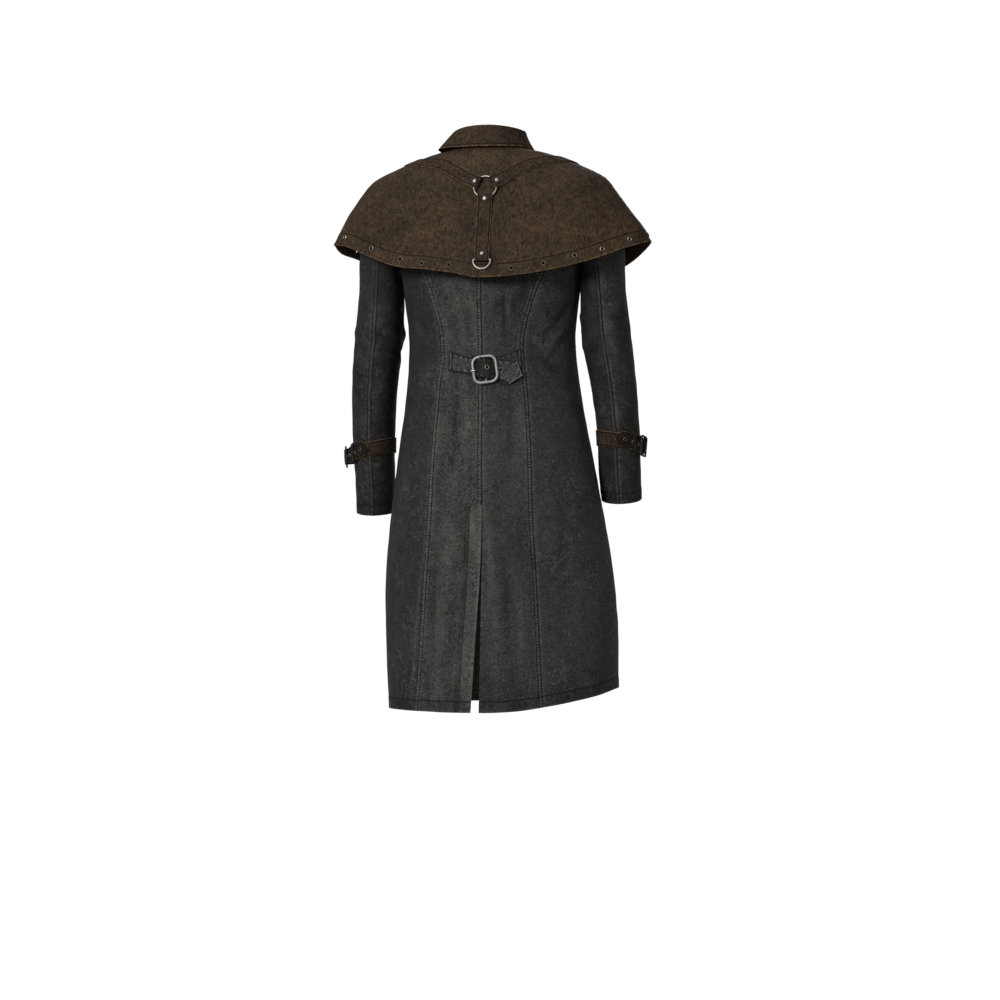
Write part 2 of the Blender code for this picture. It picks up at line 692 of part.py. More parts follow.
def build_straps():
    radius = (RING_ACROSS - RING_WIRE) / 2
    wire_off = LAID_ON + STRAP_WALL + WIRE_CLEAR + RING_WIRE / 2
    base, off = ring_frame()
    centre = base + wire_off * off
    side = np.cross(np.array([0.0, 0.0, 1.0]), off)
    side /= np.linalg.norm(side)
    up = np.cross(off, side)
    swings = np.linspace(0, 2 * math.pi, 26, endpoint=False)
    tube_solid(
        "o_ring",
        [centre + radius * (math.cos(swing) * side + math.sin(swing) * up) for swing in swings],
        RING_WIRE, "steel", cyclic=True,
    )

    def ring_shift(lane):
        # Where the ring's wire really lies, against the start of the strip, at each place across.
        start, forward, aside, off_it = lane.frame(0.0)
        flat_forward = forward - off * forward.dot(off)
        flat_forward /= np.linalg.norm(flat_forward)
        flat_aside = np.cross(off, flat_forward)
        beside = (start - centre).dot(flat_aside)

        def shift(across, along):
            reach = math.sqrt(max(radius**2 - (across + beside) ** 2, 1.0))
            wire = centre + reach * flat_forward + (across + beside) * flat_aside
            laid = lane.point(0.0, across, 0.0)
            fade = 1.0 - float(smooth(10, 30, along))
            return (wire - laid).dot(forward) * fade, ((wire - laid).dot(off_it) - wire_off) * fade

        return shift

    run = np.arange(40, 400, 16)
    rivets = []
    for word, route in (("left", STRAP_LEFT), ("right", STRAP_RIGHT)):
        lane = Lane(cape_point, route)
        shift = ring_shift(lane)
        line = fold_line(wire_off, RING_WIRE / 2 + WIRE_CLEAR, STRAP_WALL, FOLD_UNDER,
                         lane.length, run[run < lane.length - 6])
        strip("strap_" + word, lane, line, spread(SHOULDER_STRAP, 4), STRAP_WALL, "strap_cloth",
              shift=shift)
        rivets.append(("rivet_" + word, lane, shift, 12.0))

    lane = Lane(cape_point, STRAP_CENTRE)
    shift = ring_shift(lane)
    d_off = LAID_ON + STRAP_WALL + WIRE_CLEAR + D_WIRE / 2
    top = fold_line(wire_off, RING_WIRE / 2 + WIRE_CLEAR, STRAP_WALL, FOLD_UNDER,
                    lane.length / 2, run[run < lane.length / 2 - 4])
    foot = fold_line(d_off, D_WIRE / 2 + WIRE_CLEAR, STRAP_WALL, FOLD_UNDER,
                     lane.length / 2, run[run < lane.length / 2 - 4])
    line = top[:-1] + [(lane.length - along, off_it) for along, off_it in reversed(foot)]
    strip("strap_centre", lane, line, spread(CENTRE_STRAP, 4), STRAP_WALL, "strap_cloth",
          shift=shift)
    rivets.append(("rivet_top", lane, shift, 12.0))
    rivets.append(("rivet_low", lane, lambda across, along: (0.0, 0.0), lane.length - 12.0))

    dome = [(0.62, 0.0), (1.0, 0.12), (0.98, 0.4), (0.7, 0.85), (0.3, 1.0)]
    for name, way, moved, along in rivets:
        from_fold = along if along < way.length / 2 else way.length - along
        height = strip_top(from_fold, wire_off if "low" not in name else d_off)
        more = moved(0.0, along)
        foot_at = way.point(along + more[0], 0.0, height + more[1])
        axis = way.frame(along)[3]
        turned_solid(name, [(RIVET_ACROSS / 2 * r, RIVET_HIGH * h) for r, h in dome],
                     foot_at, axis, "steel", sides=12)

    bar, forward, aside, off_it = lane.frame(lane.length)
    bar = bar + d_off * off_it
    lean = math.radians(D_LEAN)
    hang = math.cos(lean) * forward - math.sin(lean) * off_it
    half = (D_INSIDE + D_WIRE) / 2
    outline = [(-half, 0.0), (-half * 0.5, 0.0), (0.0, 0.0), (half * 0.5, 0.0), (half, 0.0)]
    for turn in np.linspace(0, 180, 15):
        outline.append(
            (half * math.cos(math.radians(turn)), 2.5 + D_DROP * math.sin(math.radians(turn)))
        )
    tube_solid("d_ring", [bar + x * aside + y * hang for x, y in outline], D_WIRE, "steel",
               cyclic=True)


def strip_top(along, wire_off):
    # How high a rivet's foot sits over the strip's top run, near its fold.
    low = LAID_ON + STRAP_WALL / 2
    radius = RING_WIRE / 2 + WIRE_CLEAR + STRAP_WALL / 2
    second = low + STRAP_WALL + LAID_ON / 2
    line = [(0.0, wire_off + radius), (FOLD_UNDER * 0.36, wire_off + radius * 0.45),
            (FOLD_UNDER * 0.66, second + 0.5), (FOLD_UNDER, second)]
    heights = np.interp([along - 4, along, along + 4], *np.transpose(line))
    return float(max(heights)) + STRAP_WALL / 2 + SEAM_GAP


def body_route(places):
    rows = []
    heights = np.array([ring.side_z for ring in BODY], float)
    for place in places:
        number = float(np.interp(-place.z, -heights, np.arange(len(BODY))))
        rows.append(Route(float(side_angle(np.array(number), place.x)), number))
    return rows


def rounded_frame(wide, high, corner, count=5):
    points = []
    for sign_x, sign_y, start in ((1, 1, 0), (-1, 1, 90), (-1, -1, 180), (1, -1, 270)):
        for turn in np.linspace(start, start + 90, count):
            points.append(
                (
                    sign_x * (wide / 2 - corner) + corner * math.cos(math.radians(turn)),
                    sign_y * (high / 2 - corner) + corner * math.sin(math.radians(turn)),
                )
            )
    return points


def buckle_solid(name, centre, along, across, wide, high, bar, corner, middle):
    outline = rounded_frame(wide - bar, high - bar, corner)
    frame = tube_solid(name, [centre + x * along + y * across for x, y in outline], bar, "steel",
                       cyclic=True)
    reach = (high - bar) / 2
    rod = tube_solid(name + "_bar", [centre - reach * across, centre + reach * across], middle,
                     "steel", cyclic=False)
    join = frame.modifiers.new("bar", "BOOLEAN")
    join.operation = "UNION"
    join.solver = "EXACT"
    join.object = rod
    graph = bpy.context.evaluated_depsgraph_get()
    made = bpy.data.meshes.new_from_object(frame.evaluated_get(graph))
    frame.modifiers.clear()
    frame.data = made
    made.name = name
    made.shade_smooth()
    made.set_sharp_from_angle(angle=math.radians(50))
    bpy.data.objects.remove(rod)
    return frame


def build_belt():
    left = Lane(body_point, body_route(BELT_LEFT))
    right = Lane(body_point, body_route(BELT_RIGHT))
    start, forward, aside, off = right.frame(0.0)
    turn = math.radians(BUCKLE_TURN)
    flat = np.cross(np.array([0.0, 0.0, 1.0]), off)
    flat /= np.linalg.norm(flat)
    up = np.cross(off, flat)
    along = math.cos(turn) * flat + math.sin(turn) * up
    across = np.cross(off, along)
    centre = start + BUCKLE_OFF * off

    def bar_shift(lane, at):
        # The strips bend along the buckle's middle bar, which stands at a slant to them.
        ahead, beside, off_it = lane.frame(at)[1:]

        def shift(place, where):
            bar = centre + place / across.dot(beside) * across
            laid = lane.point(at, place, 0.0)
            fade = 1.0 - float(smooth(30, 52, abs(where - at)))
            return (bar - laid).dot(ahead) * fade, ((bar - laid).dot(off_it) - BUCKLE_OFF) * fade

        return shift

    from_seam = 87.3
    line = [(2.0, 1.4), (20, 1.4), (40, 1.4)]
    heights = ((34, 1.6), (23.5, 2.9), (16, 4.1), (12, 7.0), (8, 10.4), (4, 12.8), (0, 13.6),
               (-4, 12.8), (-8, 10.4), (-12, 7.4), (-16, 4.8), (-23.5, 4.2), (-34, 3.9),
               (-46, 4.0))
    line += [(from_seam - away, high) for away, high in heights]
    end = left.length
    line += [(end - 17, 4.4), (end - 8, 4.8), (end, 5.0)]

    def tip(along):
        return float(np.clip((end - along) / BELT_TIP, 0.06, 1.0))

    strip("belt_left", left, line, spread(BELT_WIDE, 5), STRAP_WALL, "coat_cloth",
          shift=bar_shift(left, from_seam), tip=tip)

    radius = CENTRE_BAR / 2 + 0.5 + STRAP_WALL / 2
    line = [(11.0, 5.2), (7, 8.2)]
    for swing in np.linspace(75, 285, 8):
        line.append((radius * math.cos(math.radians(swing)),
                     BUCKLE_OFF + radius * math.sin(math.radians(swing))))
    line += [(7.5, 2.7), (14, 1.5), (26, 1.4), (42, 1.4), (58, 1.4), (right.length - 2, 1.4)]
    strip("belt_right", right, line, spread(BELT_WIDE - 3, 5), STRAP_WALL, "coat_cloth",
          shift=bar_shift(right, 0.0))
    buckle_solid("belt_buckle", centre, along, across, BUCKLE_WIDE, BUCKLE_HIGH, BUCKLE_BAR,
                 BUCKLE_CORNER, CENTRE_BAR)
    lift = BUCKLE_BAR / 2 + SEAM_GAP + PRONG / 2
    toward = -along if along[0] < 0 else along
    route = ((13, lift + 1.6), (17, lift + 1.0), (23, lift), (26.5, lift - 0.4), (28.5, lift - 1.4))
    tube_solid("belt_prong", [centre + a * toward + h * off for a, h in route], PRONG, "steel",
               cyclic=False)


def build_sleeve_straps():
    for word, strap in SLEEVE_STRAPS.items():
        surface = sleeve_point(word)
        outwards = sleeve_normals(surface, word)
        heights = np.array([row.z for row in SLEEVE[word]], float)

        def number_at(z, heights=heights):
            return 1 + np.interp(-np.asarray(z, float), -heights, np.arange(len(heights)))

        turn = np.linspace(0, 360, 28, endpoint=False)
        across = spread(BAND_WIDE, 3)
        z = strap.z - strap.tilt * np.cos(np.radians(turn))[None, :] - across[:, None]
        angle = np.broadcast_to(turn, z.shape)
        points, off = surface(angle, number_at(z)), outwards(angle, number_at(z))
        grid_solid("sleeve_band_" + word, points + (BAND_OFF + STRAP_WALL) * off,
                   points + BAND_OFF * off, "strap_cloth", closed=True)

        rows = [Route(swing, float(number_at(strap.z - strap.tilt * math.cos(math.radians(swing)))))
                for swing in (TAB_FROM, -20.0, TAB_BUCKLE, TAB_KEEPER, TAB_TO)]
        lane = Lane(surface, rows, outwards)
        at = [float(np.interp(swing, [row.angle for row in rows],
                              np.interp(np.linspace(0, 159, 5), np.arange(160), lane.at)))
              for swing in (TAB_BUCKLE, TAB_KEEPER)]
        buckle, end = at[0], lane.length
        low = BAND_OFF + STRAP_WALL * 1.5 + LAID_ON
        bumps = ((-13, 4.6), (-10, 5.9), (-7, 8.6), (-3.5, 11.0), (0, 11.6), (3.5, 11.0), (7, 8.6),
                 (10, 5.9), (13, 4.6))
        line = [(along, low) for along in np.arange(0, buckle - 16, 7)]
        line += [(buckle + away, high) for away, high in bumps]
        line += [(along, low) for along in np.linspace(buckle + 18, end, 8)]

        def tip(along, end=end):
            return float(np.clip(0.42 + (end - along) / 17, 0.42, 1.0))

        strip("sleeve_tab_" + word, lane, line, spread(TAB_WIDE, 5), STRAP_WALL, "strap_cloth",
              tip=tip)

        start, forward, aside, off_it = lane.frame(buckle)
        buckle_solid("sleeve_buckle_" + word, start + CUFF_BUCKLE_OFF * off_it, forward, aside,
                     CUFF_BUCKLE_WIDE, CUFF_BUCKLE_HIGH, CUFF_BUCKLE_BAR, CUFF_BUCKLE_CORNER, 3.2)

        middle = lane.frame(at[1])[0]
        foot = float(number_at(middle[2] - 24))
        head = float(number_at(middle[2] + 24))
        swing = TAB_KEEPER
        keeper = Lane(surface, [Route(swing, head), Route(swing, (foot + head) / 2),
                                Route(swing, foot)], outwards)
        half, over = keeper.length / 2, low + STRAP_WALL / 2 + LAID_ON + 0.9
        line = [(half - 23, 1.6), (half - 20.6, 2.6), (half - 19, over * 0.75), (half - 16.5, over),
                (half, over), (half + 16.5, over), (half + 19, over * 0.75), (half + 20.6, 2.6),
                (half + 23, 1.6)]
        strip("sleeve_keeper_" + word, keeper, line, spread(KEEPER_WIDE, 3), 1.2, "coat_cloth")


def build_buttons():
    rim = [(0.9, 0.0), (1.0, 0.3), (0.94, 1.0), (0.68, 0.76)]
    heights = np.array([ring.front_z for ring in BODY], float)
    for count, z in enumerate(BUTTON_HEIGHTS, start=1):
        number = float(np.interp(-z, -heights, np.arange(len(BODY))))
        foot = body_point(np.array(-90.0), np.array(number))
        axis = normals(body_point, np.array(-90.0), np.array(number))
        profile = [(BUTTON_ACROSS / 2 * r, LAID_ON + BUTTON_THICK * h) for r, h in rim]
        turned_solid("button_%d" % count, profile, foot, axis, "horn", sides=14)


for thing in list(bpy.data.objects):
    bpy.data.objects.remove(thing)
garment = bpy.data.collections.new("caped_overcoat")
bpy.context.scene.collection.children.link(garment)

build_body()
build_sleeves()
build_cape()
build_collar()
build_straps()
build_belt()
build_sleeve_straps()
build_buttons()
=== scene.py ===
import functools
import math

import bpy
import numpy as np
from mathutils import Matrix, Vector


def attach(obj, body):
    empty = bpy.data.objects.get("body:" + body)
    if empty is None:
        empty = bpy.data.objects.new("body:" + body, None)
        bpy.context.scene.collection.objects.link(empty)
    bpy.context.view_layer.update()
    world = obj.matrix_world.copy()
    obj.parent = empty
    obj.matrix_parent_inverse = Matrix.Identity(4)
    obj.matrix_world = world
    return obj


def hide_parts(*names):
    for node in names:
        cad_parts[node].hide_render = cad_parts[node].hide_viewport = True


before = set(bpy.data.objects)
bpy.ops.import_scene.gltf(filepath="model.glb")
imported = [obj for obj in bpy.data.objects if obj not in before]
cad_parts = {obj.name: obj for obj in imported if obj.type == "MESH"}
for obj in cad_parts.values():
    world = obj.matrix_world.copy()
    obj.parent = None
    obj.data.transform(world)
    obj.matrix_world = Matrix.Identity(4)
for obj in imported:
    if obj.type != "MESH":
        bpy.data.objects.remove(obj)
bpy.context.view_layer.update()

mm = 0.001
print("coat: the frame is in, sizes below are millimetres, angles run from the left side round the back")


# sums on rows of sizes and on arrays of points

def bend(part, here, slope, after, nextSlope):
    # a smooth way between two places, with a slope at each
    square, cube = part**2, part**3
    return (here * (2 * cube - 3 * square + 1) + slope * (cube - 2 * square + part)
            + after * (3 * square - 2 * cube) + nextSlope * (cube - square))


def rowsAt(rows, number):
    # a table read between its rows, passing smoothly through each
    rows = np.asarray(rows, float)
    last = len(rows) - 1
    number = np.clip(np.asarray(number, float), 0.0, last)
    first = np.minimum(number.astype(int), last - 1)
    part = (number - first)[..., None]
    here, after = rows[first], rows[first + 1]
    before = np.where(first[..., None] > 0, rows[np.maximum(first - 1, 0)], 2 * here - after)
    beyond = np.where(first[..., None] < last - 1, rows[np.minimum(first + 2, last)], 2 * after - here)
    return bend(part, here, (after - before) / 2, after, (beyond - here) / 2)


def smoothTable(table, at):
    table = np.asarray(table, float)
    return rowsAt(table[:, 1:], np.interp(at, table[:, 0], np.arange(len(table))))[..., 0]


def smooth(low, high, value):
    part = np.clip((np.asarray(value, float) - low) / (high - low), 0.0, 1.0)
    return part * part * (3 - 2 * part)


def bump(value):
    return np.exp(-np.square(value))


def unit(vectors):
    return vectors / np.linalg.norm(vectors, axis=-1, keepdims=True)


def ripple(along, seed, length):
    # an uneven wave: several lengths over each other, stronger in some stretches
    total = 0.0
    for count, (share, scale) in enumerate(((1.0, 1.0), (0.7, 0.62), (0.5, 1.73), (0.4, 0.43))):
        drift = 1.3 * np.sin(2 * math.pi * along / (length * scale * 5.3) + seed + count)
        total = total + share * np.sin(2 * math.pi * along / (length * scale) + seed * 2.4 + drift)
    return total / 1.7 * (0.6 + 0.4 * np.sin(2 * math.pi * along / (length * 8.7) + seed * 0.9))


def crumple(points, seed, size):
    # small unevenness in all directions
    draw = np.random.default_rng(seed)
    total = np.zeros(points.shape[:-1])
    for _ in range(16):
        way = unit(draw.normal(size=3))
        total += np.sin(points @ way * 2 * math.pi / (size * draw.uniform(0.5, 1.9)) + draw.uniform(0, 6.3))
    return total / 4


def arcs(points, axis):
    # distance run along the rows or the columns of a grid
    steps = np.linalg.norm(np.diff(points, axis=axis), axis=-1)
    lead = np.zeros_like(np.take(steps, [0], axis=axis))
    return np.concatenate([lead, np.cumsum(steps, axis=axis)], axis=axis)


def readAt(where, places, points):
    # a line of points read at places along it
    return np.stack([np.interp(where, places, column) for column in points.T], axis=-1)


def turnFrom(angle, at):
    # degrees past an angle, the short way round
    return (angle - at + 180) % 360 - 180


def numberAt(z, heights):
    # the row of a table that lies at a height
    return np.interp(-np.asarray(z, float), -np.asarray(heights, float), np.arange(len(heights)))


def ringPoint(rows, angle, number):
    angle, number = np.broadcast_arrays(np.asarray(angle, float), np.asarray(number, float))
    left, right, back, front, flat, sideZ, backZ, frontZ = np.moveaxis(rowsAt(rows, number)[..., :8], -1, 0)
    across, along = np.cos(np.radians(angle)), np.sin(np.radians(angle))
    x = np.where(across >= 0, left, right) * across
    y = np.where(along >= 0, back, front) * along * (1 + flat * across**2)
    z = sideZ + (np.where(along >= 0, backZ, frontZ) - sideZ) * along**2
    return np.stack([x, y, z], axis=-1)


def withFolds(points, angle, folds):
    # each fold: angle, width in degrees, depth, height where it starts, height where it is full
    angle = np.broadcast_to(np.asarray(angle, float), points.shape[:-1])
    push = np.zeros(points.shape[:-1])
    for at, width, depth, top, full in folds:
        turn = turnFrom(angle, at)
        push = push + depth * bump(turn / width) * smooth(-top, -full, -points[..., 2])
    moved = points.copy()
    moved[..., :2] += unit(points[..., :2]) * push[..., None]
    return moved


def creasePush(degrees, perDegree, down, creases):
    # each crease: from angle, from depth down, to angle, to depth down, width, height
    push = np.zeros(np.broadcast(degrees, down).shape)
    for fromAngle, fromDown, toAngle, toDown, width, height in creases:
        aside = turnFrom(degrees, fromAngle) * perDegree
        spanAside, spanDown = (toAngle - fromAngle) * perDegree, toDown - fromDown
        part = (aside * spanAside + (down - fromDown) * spanDown) / (spanAside**2 + spanDown**2)
        inside = np.clip(part, 0, 1)
        away = np.hypot(aside - inside * spanAside, down - fromDown - inside * spanDown)
        push = push + height * np.sin(math.pi * inside) ** 0.7 * bump(away / width)
    return push


def sizePerDegree(rings, number):
    # millimetres round a ring for each degree
    columns = rowsAt(rings, number)
    return (columns[..., 0] + columns[..., 2]) / 2 * math.pi / 180


def facing(surface, angle, number, sign=1.0):
    # the outward direction of a wall
    step, rise = 0.3, 0.02
    roundIt = surface(angle + step, number) - surface(angle - step, number)
    downIt = surface(angle, number + rise) - surface(angle, number - rise)
    return sign * unit(np.cross(downIt, roundIt))


# the coat's body

coat = {
    "wall": 1.1,
    "rowStep": 4.3,
    "columnStep": 4.8,
    "frontRowStep": 5.6,
    "frontColumnStep": 6.6,
    "seamGap": 0.06,
    "crumple": (46.0, 0.30),
    "mottle": 0.08,
    "creaseScale": 1.35,
    "creasesFrom": (150, 230),
    # left, right, back, front, flat, height at side, back and front, half seam distance, centre, vent
    "rings": (
        (75.4, 75.4, 80.2, 48.6, 0.00, 14.6, 22.4, -37.9, 300, 0, 0),
        (112, 112, 98, 76, 0.04, -5, -22, -74, 280, 0, 0),
        (164, 164, 112, 100, 0.10, -20, -66, -106, 245, 0, 0),
        (212, 212, 121, 115, 0.16, -46, -112, -140, 208, 0, 0),
        (216, 216, 124, 122, 0.20, -120, -160, -176, 164, 0, 0),
        (181, 181, 123, 123, 0.20, -214, -214, -214, 126, 0, 0),
        (171, 171, 122, 121, 0.18, -273, -273, -273, 102, -1, 0),
        (162, 164, 118, 117, 0.14, -361, -361, -361, 81, -2, 0),
        (169, 177, 124, 121, 0.12, -468, -468, -468, 90, -4, 0),
        (185, 199, 137, 128, 0.10, -585, -585, -585, 98, -5, 0),
        (199, 221, 147, 137, 0.08, -702, -702, -702, 104, -7, 1),
        (208, 238, 155, 147, 0.06, -819, -819, -819, 112, -5, 3),
        (206, 247, 163, 156, 0.05, -936, -936, -936, 119, -1, 9),
        (199, 248, 171, 166, 0.05, -1066, -1066, -1066, 127, 3, 15),
    ),
    "folds": (
        (73, 8, 3.5, -420, -900), (60, 7, -3.0, -480, -1000), (24, 12, 5.0, -560, -1040),
        (107, 8, 4.0, -410, -860), (120, 7, -3.5, -470, -980), (150, 11, 5.0, -600, -1040),
        (-28, 12, -5.0, -520, -1040), (-52, 9, 4.0, -560, -1040), (206, 12, -5.0, -540, -1040),
        (232, 9, 4.0, -600, -1040),
    ),
    # creases of the back by place across and height: from x, from z, to x, to z, width, height
    "backCreases": (
        (49, -250, 46, -366, 8, 2.6), (26, -262, 23, -378, 7, 1.8), (-35, -258, -40, -372, 7, 2.2),
        (-64, -255, -60, -362, 8, 2.6), (37, -262, 35, -350, 6, -2.4), (-50, -262, -51, -356, 6, -2.6),
        (138, -270, 84, -372, 11, 2.3), (130, -312, 92, -384, 8, -1.9), (76, -386, 132, -450, 8, -2.0),
        (80, -364, 134, -420, 9, 1.8), (84, -424, 120, -486, 9, 1.5), (-166, -272, -112, -366, 7, -2.5),
        (-166, -300, -114, -388, 9, 2.5), (-160, -336, -118, -406, 7, -1.9),
        (-92, -388, -134, -446, 8, -1.8), (-94, -410, -140, -480, 10, 1.7), (42, -448, 37, -655, 10, 2.0),
        (-36, -448, -42, -655, 10, 2.0), (-61, -462, -68, -610, 8, -1.7), (-80, -448, -86, -640, 9, 1.9),
        (66, -456, 76, -640, 10, -1.6), (18, -470, 10, -640, 8, -1.3), (-18, -700, -48, -872, 17, -3.0),
        (-44, -690, -66, -930, 18, 2.6), (-88, -640, -76, -820, 13, -2.4),
        (-24, -880, -34, -1040, 15, 2.2), (-84, -860, -92, -1050, 15, 2.0),
        (112, -790, 134, -1058, 5.5, 2.6), (104, -820, 123, -1058, 6, -1.9),
        (58, -700, 68, -1010, 17, 2.2), (84, -640, 92, -860, 12, -2.0), (30, -740, 36, -1000, 14, -1.8),
        (-128, -560, -150, -800, 14, 2.0), (-150, -700, -170, -1000, 15, -2.4),
        (150, -560, 162, -820, 13, 2.0),
    ),
    # creases of the front, in the same columns
    "frontCreases": (
        (132, -262, 60, -372, 11, 2.3), (124, -306, 70, -396, 8, -1.9), (-132, -262, -62, -370, 10, 2.2),
        (-126, -310, -74, -400, 8, -1.8), (96, -420, 112, -640, 12, 2.2),
        (-92, -420, -108, -650, 12, 2.1), (56, -470, 66, -760, 13, -1.9),
        (-60, -480, -72, -780, 13, -2.0), (120, -720, 138, -1040, 15, 2.4),
        (-118, -700, -140, -1030, 15, 2.3), (80, -800, 92, -1050, 13, -2.0),
        (-84, -780, -96, -1045, 13, -2.1),
    ),
    "hemRise": 40.0,
    "hemRiseFrom": (640, 1066),
    "shoulderTip": 3.0,
    "armpit": 5.0,
    "hem": 13.0,
    "sideBackTop": 3.5,
    "armholeBack": 33.0,
    "armholeFront": 37.0,
    "frontOverlap": 26.0,
    "underlapDrop": 2.4,
    "ventTop": -672.0,
    "hemStitch": 21.0,
    "sideSeamShift": 9.0,
    # more rows where the shoulder ends, the side back starts and the armhole closes
    "shoulderRows": (2.97, 3.0, 3.06, 3.15, 3.3),
    "sideBackRows": (3.4, 3.499, 3.501),
    "armpitRows": (4.7, 4.8, 4.9, 4.95, 4.98, 5.0),
    # deep on each panel is painted shade, darkest on the sides and front
    "looks": {
        "back_left": {"deep": 0.10, "streak": 0.46, "crinkle": 0.18, "puckers": 0.20},
        "back_right": {"deep": 0.29, "streak": 0.46, "crinkle": 0.18, "puckers": 0.15},
        "side_back_left": {"deep": 0.61, "streak": 0.10, "crinkle": 0.46},
        "side_back_right": {"deep": 0.43, "streak": 0.10, "crinkle": 0.46},
        "front": {"deep": 0.46, "streak": 0.16, "crinkle": 0.34},
    },
    # rubbed lines, and painted highlights and painted shade of folds, on the back: from x, from z, to x, to
    # z, width, strength
    "worn": (
        (115, -800, 135, -1056, 2.6, 1.3), (96, -640, 112, -800, 3.0, 0.35),
        (-120, -640, -96, -760, 5.0, 0.4), (-86, -780, -100, -900, 4.0, 0.35),
        (-150, -330, -116, -396, 4.0, 0.5), (14, -676, 8, -760, 7.0, 0.8),
        (46, -264, 37, -332, 5.5, 0.50), (19, -256, 16, -309, 5.0, 0.45),
        (-52, -256, -52, -325, 5.5, 0.50), (-110, -256, -104, -325, 4.0, 0.40),
        (97, -264, 85, -317, 4.0, 0.40), (33, -294, 23, -355, 6.3, -0.50),
        (66, -306, 50, -355, 6.5, -0.50), (-35, -275, -23, -313, 6.5, -0.45),
        (-69, -268, -54, -328, 7.5, -0.55), (-85, -241, -75, -290, 7.5, -0.50),
        (75, -254, 64, -306, 6.5, -0.40), (143, -317, 120, -344, 6.3, 0.60),
        (128, -431, 81, -393, 4.0, 0.50), (120, -283, 97, -340, 10.0, -0.40),
        (135, -368, 93, -378, 12.5, -0.35), (-94, -363, -127, -309, 4.5, 0.45),
        (-100, -382, -139, -420, 12.5, -0.45), (-116, -283, -147, -340, 10.0, -0.35),
        (25, -463, 27, -617, 7.5, 0.40), (-27, -469, -29, -629, 7.5, 0.40),
        (46, -469, 54, -606, 7.5, -0.35), (-79, -469, -85, -606, 6.5, 0.30),
        (-56, -460, -60, -606, 7.5, -0.35), (77, -473, 85, -606, 6.3, 0.25),
        (-19, -701, -27, -861, 7.5, 0.45), (-42, -739, -62, -967, 10.0, -0.35),
        (-77, -777, -89, -1005, 7.5, 0.30), (54, -720, 66, -967, 10.0, 0.30),
        (83, -777, 93, -1005, 8.8, -0.30),
    ),
}


sideHeights = np.array([row[5] for row in coat["rings"]], float)


def backAngle(x, z):
    # the angle at which the coat reaches a place across the back
    half = np.interp(-z, -sideHeights, [row[0 if x > 0 else 1] for row in coat["rings"]])
    return math.degrees(math.acos(max(-1.0, min(1.0, x / float(half)))))


coatCreases = []
for word, sign, scale in (("backCreases", 1, coat["creaseScale"]), ("frontCreases", -1, 1.0)):
    for fromX, fromZ, toX, toZ, width, height in coat[word]:
        fromAngle, toAngle = sign * backAngle(fromX, fromZ), sign * backAngle(toX, toZ)
        coatCreases.append((fromAngle, -fromZ, toAngle, -toZ, width, scale * height))


def plainCoat(angle, number):
    points = withFolds(ringPoint(coat["rings"], angle, number), angle, coat["folds"])
    rightSide = np.maximum(0.0, -np.cos(np.radians(angle))) ** 2
    points[..., 2] += coat["hemRise"] * rightSide * smooth(*coat["hemRiseFrom"], -points[..., 2])
    return points


def coatPoint(angle, number):
    points = plainCoat(angle, number)
    angle, number = (np.broadcast_to(value, points.shape[:-1]) for value in (angle, number))
    push = creasePush(angle, sizePerDegree(coat["rings"], number), -points[..., 2], coatCreases)
    push = push * smooth(*coat["creasesFrom"], -points[..., 2])
    points[..., :2] += unit(points[..., :2]) * push[..., None]
    return points


# meshes: a cloth wall between two grids of points

creaseAngles = {"cloth": 55, "metal": 50, "thread": 70}


def arrayMesh(name, points, faces):
    mesh = bpy.data.meshes.new(name)
    mesh.vertices.add(len(points))
    mesh.vertices.foreach_set("co", (points * mm).ravel())
    mesh.loops.add(faces.size)
    mesh.loops.foreach_set("vertex_index", faces.ravel().astype(np.int32))
    mesh.polygons.add(len(faces))
    mesh.polygons.foreach_set("loop_start", np.arange(0, faces.size, faces.shape[1], dtype=np.int32))
    mesh.update(calc_edges=True)
    return mesh


def gridPiece(name, outer, inner, uv, marks, off, holes=None, closed=False):
    rows, columns = outer.shape[:2]
    index = np.arange(rows * columns).reshape(rows, columns)
    if closed:
        index = np.concatenate([index, index[:, :1]], axis=1)
    a, b, c, d = index[:-1, :-1], index[:-1, 1:], index[1:, 1:], index[1:, :-1]
    kept = np.ones(a.shape, bool) if holes is None else ~holes
    beside = np.pad(kept, 1)
    if closed:
        beside[:, 0], beside[:, -1] = beside[:, -2], beside[:, 1]
    half = rows * columns
    quads = np.stack([a, b, c, d], axis=-1)[kept]
    faces = [quads, quads[:, ::-1] + half]
    for open_, first, second in ((beside[:-2, 1:-1], a, b), (beside[2:, 1:-1], c, d),
                                 (beside[1:-1, 2:], b, c), (beside[1:-1, :-2], d, a)):
        edge = kept & ~open_
        first, second = first[edge], second[edge]
        faces.append(np.stack([second, first, first + half, second + half], axis=-1))
    faces = np.concatenate(faces)
    points = np.concatenate([outer.reshape(-1, 3), inner.reshape(-1, 3)])
    first = quads[len(quads) // 2]
    turned = np.cross(points[first[1]] - points[first[0]], points[first[3]] - points[first[0]])
    if turned.dot(off.reshape(-1, 3)[first[0]]) < 0:
        faces = faces[:, ::-1]
    used, faces = np.unique(faces, return_inverse=True)
    faces = faces.reshape(-1, 4)
    mesh = arrayMesh(name, points[used], faces)
    layer = mesh.uv_layers.new(name="cut")
    both = np.concatenate([uv.reshape(-1, 2), uv.reshape(-1, 2)])[used]
    layer.data.foreach_set("uv", (both[faces.ravel()] * mm).ravel())
    for word, values in marks.items():
        mark = mesh.attributes.new(word, "FLOAT", "POINT")
        flat = np.broadcast_to(values, (rows, columns)).ravel()
        mark.data.foreach_set("value", np.concatenate([flat, flat])[used].astype(np.float32))
    return addPiece(name, mesh, creaseAngles["cloth"])


